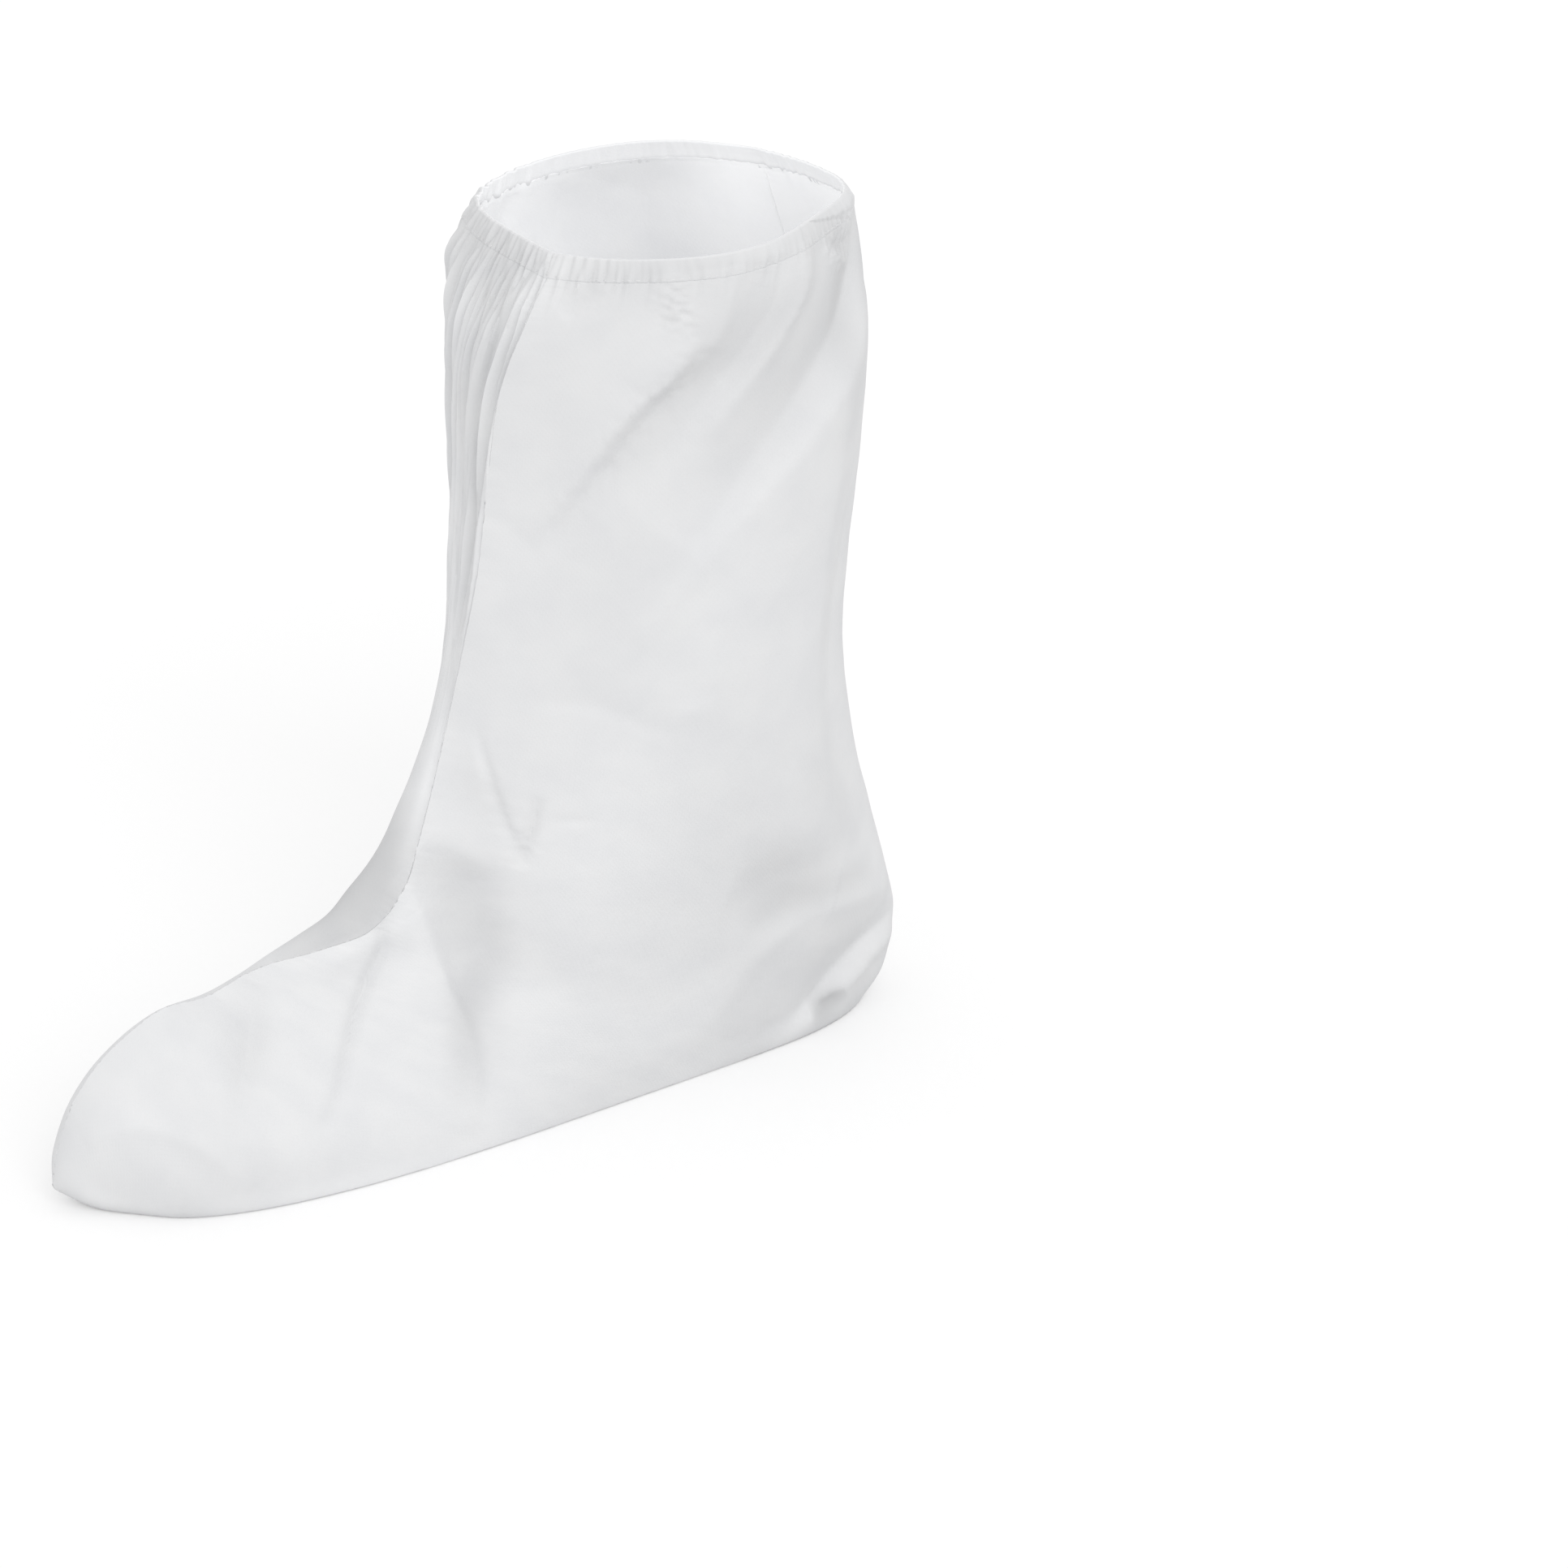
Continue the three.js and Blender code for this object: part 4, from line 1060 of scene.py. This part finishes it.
@dataclass
class HemCasing:
    """The folded strip of cloth that holds the elastic round the opening.

    Heights are shares of the casing, 0 at the hem line and 1 at the rim; depths inwards
    are millimetres. The inner side glows as painted light, standing for the light that comes
    through the cloth, and the whole casing carries a little painted shade.
    """

    cloth: CoverCloth
    columns: int = 900
    steps_up: int = 12
    steps_over: int = 6
    strip_thickness: float = 0.5
    casing_depth: float = 1.0
    bottom: float = 0.03
    top: float = 0.92
    bulge: float = 0.2
    inner_slope: float = 0.3
    inner_drop: float = 0.12
    tucked_end: float = 0.6
    tucked_from: float = 0.08
    tucked_run: float = 0.2
    light_share: float = 0.8
    light_depths: Span = (0.6, 1.2)
    least_light: float = 0.6
    low_rows: Span = (0.8, 0.9)
    low_loss: float = 0.75
    # Painted shade over the whole casing.
    tone: float = 0.985

    def outline(self) -> list[Span]:
        """The casing's cross-section down the middle of its cloth.

        Returns:
            The height and the depth of each point, up the outside and down the inside.
        """
        half = self.strip_thickness / 2
        outline = []
        for height in np.linspace(self.bottom, self.top, self.steps_up):
            outline.append((height, half - self.bulge * math.sin(math.pi * height)))
        for share in np.linspace(0, 1, self.steps_over + 1)[1:]:
            rise = (1 - self.top) * math.sin(math.pi * share)
            depth = self.casing_depth * (1 - math.cos(math.pi * share)) / 2
            outline.append((self.top + rise, half + depth))
        for height in np.linspace(self.top, -self.inner_drop, 2 * self.steps_up)[1:]:
            slope = self.inner_slope * (self.top - height)
            tuck = float(smooth_step(self.tucked_from - height, 0, self.tucked_run))
            depth = half + self.casing_depth + slope - self.tucked_end * tuck
            outline.append((height, depth))
        return outline

    def light(self, outline: list[Span], turns: np.ndarray) -> np.ndarray:
        """How much painted glow the casing gets for light through it, none on its outer side.

        Args:
            outline: The casing's cross-section.
            turns: Half turns round the opening.

        Returns:
            The share of the painted glow, outline points by turns.
        """
        rows = np.arange(len(outline))
        depths = np.array([depth for _, depth in outline])
        depths[2 * self.steps_up :] = depths.max()
        low = smooth_step(rows / len(rows), *self.low_rows)
        share = smooth_step(depths, *self.light_depths) * (1 - self.low_loss * low)
        facing = self.light_share * np.where(rows >= self.steps_up, share, 0)
        return facing[:, None] * self.cloth.light_round(turns, self.least_light)

    def build(self) -> bpy.types.Object:
        """Makes the casing as a thin closed shell, folded over the rim.

        Returns:
            The casing.
        """
        turns = np.linspace(0, 2, self.columns, endpoint=False)
        outline = self.outline()
        form = self.cloth.form
        middle, painted_shadings = [], []
        for row, (height, depth) in enumerate(outline):
            along = np.full((1, 1), (1 - height) * HEM_LINE)
            points, tone = form.outer(along, turns[None, :])
            centre = form.plain(along, turns[None, :])[0].mean(0)
            middle.append(points[0] + depth * unit((centre - points[0]) * [1, 1, 0]))
            # Painted shading from the folds on the outer rows, none on the inner flap.
            painted_shadings.append(tone[0] if row < self.steps_up else np.ones_like(turns))
        grid = np.stack(middle)
        offset = -self.cloth.grid_outwards(grid) * self.strip_thickness / 2
        points = np.concatenate([(grid + offset).reshape(-1, 3), (grid - offset).reshape(-1, 3)])
        outer = np.arange(len(outline) * self.columns).reshape(len(outline), self.columns)
        outer = np.concatenate([outer, outer[:, :1]], 1)
        inner = outer + len(outline) * self.columns
        faces = grid_faces(outer, turned=True) + grid_faces(inner)
        faces += grid_faces(np.stack([inner[0], outer[0]]), turned=True)
        faces += grid_faces(np.stack([outer[-1], inner[-1]]), turned=True)
        uv = np.stack([laid_length(grid, 1), laid_length(grid, 0)], -1).reshape(-1, 2) * MM
        # Painted glow inside and painted shading over the whole casing.
        shades = {PAINTED_GLOW: np.tile(self.light(outline, turns).ravel(), 2),
            PAINTED_SHADING: np.tile(np.concatenate(painted_shadings) * self.tone, 2)}
        return mesh_piece("hem_casing", points, faces, np.tile(uv, (2, 1)), shades)

    def declare(self, piece: bpy.types.Object, others: list[bpy.types.Object]) -> None:
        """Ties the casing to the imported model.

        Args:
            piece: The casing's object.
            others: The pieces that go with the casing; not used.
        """
        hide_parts("top_hem")
        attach(piece, "root")


def fill_inputs(
    tree: bpy.types.NodeTree, node: bpy.types.Node, inputs: dict[str, object]
) -> None:
    """Sets a node's inputs, or links them where the value is another node's output.

    Args:
        tree: The node's tree.
        node: The node.
        inputs: The value or the output socket for each named input.
    """
    for name, value in inputs.items():
        if isinstance(value, bpy.types.NodeSocket):
            tree.links.new(value, node.inputs[name])
        else:
            node.inputs[name].default_value = value


def add_node(
    tree: bpy.types.NodeTree, kind: str, inputs: dict[str, object], **options: object
) -> bpy.types.Node:
    """Adds a node to a tree.

    Args:
        tree: The tree.
        kind: The node's type.
        inputs: The value or the output socket for each named input.
        options: The node's own settings, made before its inputs.

    Returns:
        The node.
    """
    node = tree.nodes.new(kind)
    for name, value in options.items():
        setattr(node, name, value)
    fill_inputs(tree, node, inputs)
    return node


def new_material(name: str) -> tuple[bpy.types.Material, bpy.types.NodeTree, bpy.types.Node]:
    """Starts a material.

    Args:
        name: The material's name.

    Returns:
        The material, its node tree and its shader node.
    """
    material = bpy.data.materials.new(name)
    material.use_nodes = True
    return material, material.node_tree, material.node_tree.nodes["Principled BSDF"]


def new_group(name: str, inputs: dict[str, str], outputs: list[str]) -> bpy.types.NodeTree:
    """Starts a shader node group.

    Args:
        name: The group's name.
        inputs: The socket type of each named input.
        outputs: The names of its outputs, which are all single values.

    Returns:
        The group, with its sockets and its input and output nodes.
    """
    group = bpy.data.node_groups.new(name, "ShaderNodeTree")
    for socket, kind in inputs.items():
        group.interface.new_socket(socket, in_out="INPUT", socket_type=kind)
    for socket in outputs:
        group.interface.new_socket(socket, in_out="OUTPUT", socket_type="NodeSocketFloat")
    group.nodes.new("NodeGroupInput")
    group.nodes.new("NodeGroupOutput")
    return group


PATTERN_INPUTS = {"Vector": "NodeSocketVector", "Per Metre": "NodeSocketFloat"}


def fibre_group() -> bpy.types.NodeTree:
    """Loose fibres and a soft mottle of the cloth, from its own coordinates.

    Returns:
        The group, built at the first call.
    """
    found = bpy.data.node_groups.get("loose_fibres")
    if found:
        return found
    group = new_group("loose_fibres", PATTERN_INPUTS, ["Fibre", "Mottle"])
    start = group.nodes["Group Input"].outputs
    stretch = add_node(group, "ShaderNodeMapping", {"Vector": start["Vector"],
        "Scale": (1.0, 0.35, 1.0), "Rotation": (0, 0, math.radians(12))})
    fibre = add_node(group, "ShaderNodeTexNoise", {"Vector": stretch.outputs["Vector"],
        "Scale": start["Per Metre"], "Detail": 3.0, "Distortion": 0.6})
    broad = add_node(group, "ShaderNodeTexNoise", {"Vector": start["Vector"], "Scale": 38.0,
        "Detail": 4.0})
    spread = add_node(group, "ShaderNodeMapRange", {"Value": broad.outputs["Fac"],
        "From Min": 0.35, "From Max": 0.7})
    result = {"Fibre": fibre.outputs["Fac"], "Mottle": spread.outputs["Result"]}
    fill_inputs(group, group.nodes["Group Output"], result)
    return group


def emboss_group() -> bpy.types.NodeTree:
    """The regular grid of small pressed dots that holds the cloth together.

    Returns:
        The group, built at the first call.
    """
    found = bpy.data.node_groups.get("pressed_dots")
    if found:
        return found
    group = new_group("pressed_dots", PATTERN_INPUTS, ["Dots"])
    start = group.nodes["Group Input"].outputs
    turn = add_node(group, "ShaderNodeMapping", {"Vector": start["Vector"],
        "Rotation": (0, 0, math.radians(45))})
    cells = add_node(group, "ShaderNodeTexVoronoi", {"Vector": turn.outputs["Vector"],
        "Scale": start["Per Metre"], "Randomness": 0.08}, voronoi_dimensions="2D")
    dot = add_node(group, "ShaderNodeMapRange", {"Value": cells.outputs["Distance"],
        "From Min": 0.36, "From Max": 0.18}, interpolation_type="SMOOTHSTEP")
    fill_inputs(group, group.nodes["Group Output"], {"Dots": dot.outputs["Result"]})
    return group


@dataclass(frozen=True)
class NonwovenFinish:
    """Matt white nonwoven cloth with a fine embossed grid and loose fibres.

    Depths are metres. The glow strength is how strongly the cloth's inner side glows as painted
    light, standing for the light that comes through it.
    """

    name: str
    colour: Triple = (0.80, 0.803, 0.81)
    shade: Triple = (0.765, 0.77, 0.782)
    roughness: Span = (0.62, 0.78)
    sheen: float = 0.02
    sheen_roughness: float = 0.5
    specular: float = 0.15
    emboss_per_metre: float = 620.0
    emboss_depth: float = 0.00002
    fibre_per_metre: float = 900.0
    fibre_depth: float = 0.00005
    bump_strength: float = 0.8
    glow_strength: float = 0.315

    def material(self) -> bpy.types.Material:
        """Builds the material from the shared node groups.

        Returns:
            The material.
        """
        material, tree, shader = new_material(self.name)
        place = add_node(tree, "ShaderNodeUVMap", {}, uv_map=UV_MAP).outputs["UV"]
        inward = add_node(tree, "ShaderNodeAttribute", {}, attribute_name=PAINTED_GLOW)
        tone = add_node(tree, "ShaderNodeAttribute", {}, attribute_name=PAINTED_SHADING)
        grain = add_node(tree, "ShaderNodeGroup", {"Vector": place,
            "Per Metre": self.fibre_per_metre}, node_tree=fibre_group())
        dots = add_node(tree, "ShaderNodeGroup", {"Vector": place,
            "Per Metre": self.emboss_per_metre}, node_tree=emboss_group())
        mottled = add_node(tree, "ShaderNodeMix", {"Factor": grain.outputs["Mottle"],
            "A": (*self.colour, 1), "B": (*self.shade, 1)}, data_type="RGBA")
        # Painted shading multiplies the colour: painted shade below one, painted light above one.
        base_with_painted_shading = add_node(tree, "ShaderNodeMix", {"Factor": 1.0, "A": mottled.outputs["Result"],
            "B": tone.outputs["Color"]}, data_type="RGBA", blend_type="MULTIPLY")
        low, high = self.roughness
        rough = add_node(tree, "ShaderNodeMapRange", {"Value": grain.outputs["Fibre"],
            "To Min": low, "To Max": high})
        fibre_bump = add_node(tree, "ShaderNodeBump", {"Distance": self.fibre_depth,
            "Strength": self.bump_strength, "Height": grain.outputs["Fibre"]})
        dot_bump = add_node(tree, "ShaderNodeBump", {"Distance": self.emboss_depth,
            "Strength": self.bump_strength, "Height": dots.outputs["Dots"],
            "Normal": fibre_bump.outputs["Normal"]}, invert=True)
        # Emission makes the inner wall glow as painted light for the light through the cloth.
        looks = {"Base Color": base_with_painted_shading.outputs["Result"], "Roughness": rough.outputs["Result"],
            "Normal": dot_bump.outputs["Normal"], "Emission Color": inward.outputs["Color"],
            "Emission Strength": self.glow_strength, "Sheen Weight": self.sheen,
            "Sheen Roughness": self.sheen_roughness, "Specular IOR Level": self.specular}
        fill_inputs(tree, shader, looks)
        return material


@dataclass(frozen=True)
class ThreadFinish:
    """White spun sewing thread with a slight twist."""

    name: str = "white_thread"
    colour: Triple = (0.82, 0.82, 0.825)
    roughness: float = 0.6
    sheen: float = 0.15
    twist_per_metre: float = 2600.0
    twist_depth: float = 0.00006

    def material(self) -> bpy.types.Material:
        """Builds the material with a fine twist in its bump.

        Returns:
            The material.
        """
        material, tree, shader = new_material(self.name)
        place = add_node(tree, "ShaderNodeTexCoord", {}).outputs["Object"]
        twist = add_node(tree, "ShaderNodeTexNoise", {"Vector": place,
            "Scale": self.twist_per_metre})
        bump = add_node(tree, "ShaderNodeBump", {"Distance": self.twist_depth,
            "Height": twist.outputs["Fac"]})
        looks = {"Base Color": (*self.colour, 1), "Roughness": self.roughness,
            "Sheen Weight": self.sheen, "Normal": bump.outputs["Normal"]}
        fill_inputs(tree, shader, looks)
        return material


@dataclass
class HemStitches:
    """The stitching that holds the hem's casing down, a closed row of short threads.

    Lengths are millimetres, and hem_height is a share of the casing's height.
    """

    cloth: CoverCloth
    name: str = "hem_stitches"
    pitch: float = 3.4
    length: float = 2.3
    thread: float = 0.30
    hem_height: float = 0.10
    sunk: float = 0.02
    line_points: int = 1200

    def line(self) -> np.ndarray:
        """The closed line of the stitching, just above the casing's lower edge.

        Returns:
            The points of the line, in millimetres.
        """
        form = self.cloth.form
        turns = np.linspace(0, 2, self.line_points, endpoint=False)[None, :]
        along = np.full((1, 1), (1 - self.hem_height) * HEM_LINE)
        return form.outer(along, turns)[0][0] - self.sunk * form.outward(along, turns)[0]

    def tree(self, material: bpy.types.Material) -> bpy.types.NodeTree:
        """Builds the node tree that lays one thread stitch at every pitch.

        Args:
            material: The thread's material.

        Returns:
            The Geometry Nodes tree, with its sizes as named inputs.
        """
        tree = bpy.data.node_groups.new(f"{self.name}_tree", "GeometryNodeTree")
        face = tree.interface
        face.new_socket("Geometry", in_out="INPUT", socket_type="NodeSocketGeometry")
        for socket in ("Pitch", "Stitch Length", "Thread"):
            face.new_socket(socket, in_out="INPUT", socket_type="NodeSocketFloat")
        face.new_socket("Geometry", in_out="OUTPUT", socket_type="NodeSocketGeometry")
        start = add_node(tree, "NodeGroupInput", {}).outputs
        curve = add_node(tree, "GeometryNodeMeshToCurve", {"Mesh": start["Geometry"]})
        spaced = add_node(tree, "GeometryNodeResampleCurve", {"Curve": curve.outputs["Curve"],
            "Length": start["Pitch"]}, mode="LENGTH")
        tangent = add_node(tree, "GeometryNodeInputTangent", {}).outputs["Tangent"]
        turn = add_node(tree, "FunctionNodeAlignEulerToVector", {"Vector": tangent}, axis="Z")
        grain = add_node(tree, "GeometryNodeMeshUVSphere", {"Segments": 6, "Rings": 5,
            "Radius": 0.5})
        size = add_node(tree, "ShaderNodeCombineXYZ", {"X": start["Thread"], "Y": start["Thread"],
            "Z": start["Stitch Length"]})
        put = add_node(tree, "GeometryNodeInstanceOnPoints", {"Points": spaced.outputs["Curve"],
            "Instance": grain.outputs["Mesh"], "Rotation": turn.outputs["Rotation"],
            "Scale": size.outputs["Vector"]})
        shape = put.outputs["Instances"]
        for kind in ("RealizeInstances", "SetShadeSmooth"):
            shape = add_node(tree, f"GeometryNode{kind}", {"Geometry": shape}).outputs["Geometry"]
        paint = {"Geometry": shape, "Material": material}
        shape = add_node(tree, "GeometryNodeSetMaterial", paint).outputs["Geometry"]
        add_node(tree, "NodeGroupOutput", {"Geometry": shape})
        return tree

    def build(self, material: bpy.types.Material) -> bpy.types.Object:
        """Lays the stitches along their line and turns them into a plain mesh.

        Args:
            material: The thread's material.

        Returns:
            The stitches as one object.
        """
        line = self.line()
        mesh = bpy.data.meshes.new(self.name)
        edges = [(i, (i + 1) % len(line)) for i in range(len(line))]
        mesh.from_pydata((line * MM).tolist(), edges, [])
        piece = new_object(self.name, mesh)
        modifier = piece.modifiers.new("stitches", "NODES")
        modifier.node_group = self.tree(material)
        values = {"Pitch": self.pitch, "Stitch Length": self.length, "Thread": self.thread}
        for item in modifier.node_group.interface.items_tree:
            if item.in_out == "INPUT" and item.name in values:
                modifier[item.identifier] = values[item.name] * MM
        depsgraph = bpy.context.evaluated_depsgraph_get()
        baked = bpy.data.meshes.new_from_object(piece.evaluated_get(depsgraph))
        piece.modifiers.clear()
        piece.data = baked
        bpy.data.meshes.remove(mesh)
        return piece


@dataclass
class Studio:
    """Plain pale floor, soft light and the camera at the photograph's angle.

    Lengths are metres and angles are degrees, but for the lens and its sensor, which are
    millimetres. yaw turns from the left side towards the toe.
    """

    target: Triple = (-0.1412, 0.0018, 0.0995)
    distance: float = 2.0
    yaw: float = 31.0
    elevation: float = 24.0
    lens: float = 111.8
    sensor: float = 36.0
    view_reach: float = 60.0
    floor_size: float = 14.0
    floor_drop: float = 0.0004
    floor_colour: float = 0.75
    floor_roughness: float = 0.9
    floor_glow: float = 0.27
    world_strength: float = 0.89
    key_direction: Triple = (0.14, 0.81, 0.57)
    key_strength: float = 0.66
    key_softness: float = 40.0

    def camera(self) -> None:
        """Places the camera and makes it the scene's own."""
        turn, rise = math.radians(self.yaw), math.radians(self.elevation)
        level = math.cos(rise)
        back = Vector((math.sin(turn) * level, math.cos(turn) * level, math.sin(rise)))
        data = bpy.data.cameras.new("camera")
        data.lens = self.lens
        data.sensor_width = self.sensor
        data.clip_end = self.view_reach
        camera = new_object("camera", data)
        camera.location = Vector(self.target) + back * self.distance
        camera.rotation_euler = (-back).to_track_quat("-Z", "Y").to_euler()
        bpy.context.scene.camera = camera

    def floor(self) -> None:
        """Lays a pale floor under the cover."""
        half = self.floor_size / 2
        mesh = bpy.data.meshes.new("floor")
        corners = [(-half, -half, 0), (half, -half, 0), (half, half, 0), (-half, half, 0)]
        mesh.from_pydata(corners, [], [(0, 1, 2, 3)])
        material, tree, shader = new_material("pale_floor")
        looks = {"Base Color": (*[self.floor_colour] * 3, 1), "Roughness": self.floor_roughness,
            "Specular IOR Level": 0.0, "Emission Color": (1, 1, 1, 1),
            "Emission Strength": self.for_camera(tree, 0.0, self.floor_glow)}
        fill_inputs(tree, shader, looks)
        mesh.materials.append(material)
        floor = new_object("floor", mesh)
        floor.location.z = -self.floor_drop

    def for_camera(
        self, tree: bpy.types.NodeTree, lit: float, seen: float
    ) -> bpy.types.NodeSocket:
        """A value that is one thing where it lights things and another where it is seen.

        Args:
            tree: The node tree that uses it.
            lit: The value for all other rays.
            seen: The value for the camera's rays.

        Returns:
            The output socket with the value.
        """
        seen_share = add_node(tree, "ShaderNodeLightPath", {}).outputs["Is Camera Ray"]
        inputs = {"Value": seen_share, "To Min": lit, "To Max": seen}
        return add_node(tree, "ShaderNodeMapRange", inputs).outputs["Result"]

    def world(self) -> None:
        """Lights everything evenly, with a white backdrop for the camera."""
        world = bpy.data.worlds.new("studio")
        world.use_nodes = True
        tree = world.node_tree
        strength = self.for_camera(tree, self.world_strength, 1.0)
        looks = {"Color": (1, 1, 1, 1), "Strength": strength}
        fill_inputs(tree, tree.nodes["Background"], looks)
        bpy.context.scene.world = world

    def key(self) -> None:
        """Sets the even, soft key light, from above on the camera's side."""
        data = bpy.data.lights.new("key", "SUN")
        data.angle = math.radians(self.key_softness)
        data.energy = self.key_strength
        light = new_object("key", data)
        towards = Vector(self.key_direction).normalized()
        light.rotation_euler = (-towards).to_track_quat("-Z", "Y").to_euler()

    def build(self) -> None:
        """Sets up the whole studio and a plain view transform."""
        self.camera()
        self.floor()
        self.world()
        self.key()
        view = bpy.context.scene.view_settings
        view.view_transform = "Standard"
        view.look = "None"


def report(piece: bpy.types.Object) -> None:
    """Logs a finished piece's name and number of faces."""
    LOG.info("%s: %d faces", piece.name, len(piece.data.polygons))


def main() -> None:
    """Builds the cover piece by piece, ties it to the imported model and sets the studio."""
    logging.basicConfig(level=logging.INFO, format="%(name)s: %(message)s")
    Studio().build()
    cloth = CoverCloth(CoverForm())
    stitches = HemStitches(cloth).build(ThreadFinish().material())
    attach(stitches, "root")
    report(stitches)
    for side in Side:
        panel = SidePanel(cloth, side)
        piece = panel.build()
        piece.data.materials.append(NonwovenFinish(f"{side.value}_nonwoven").material())
        panel.declare(piece)
        report(piece)
    hem = HemCasing(cloth)
    casing = hem.build()
    finish = NonwovenFinish("hem_nonwoven", colour=(0.795, 0.798, 0.805))
    casing.data.materials.append(finish.material())
    hem.declare(casing, [stitches])
    report(casing)


if __name__ == "__main__":
    main()
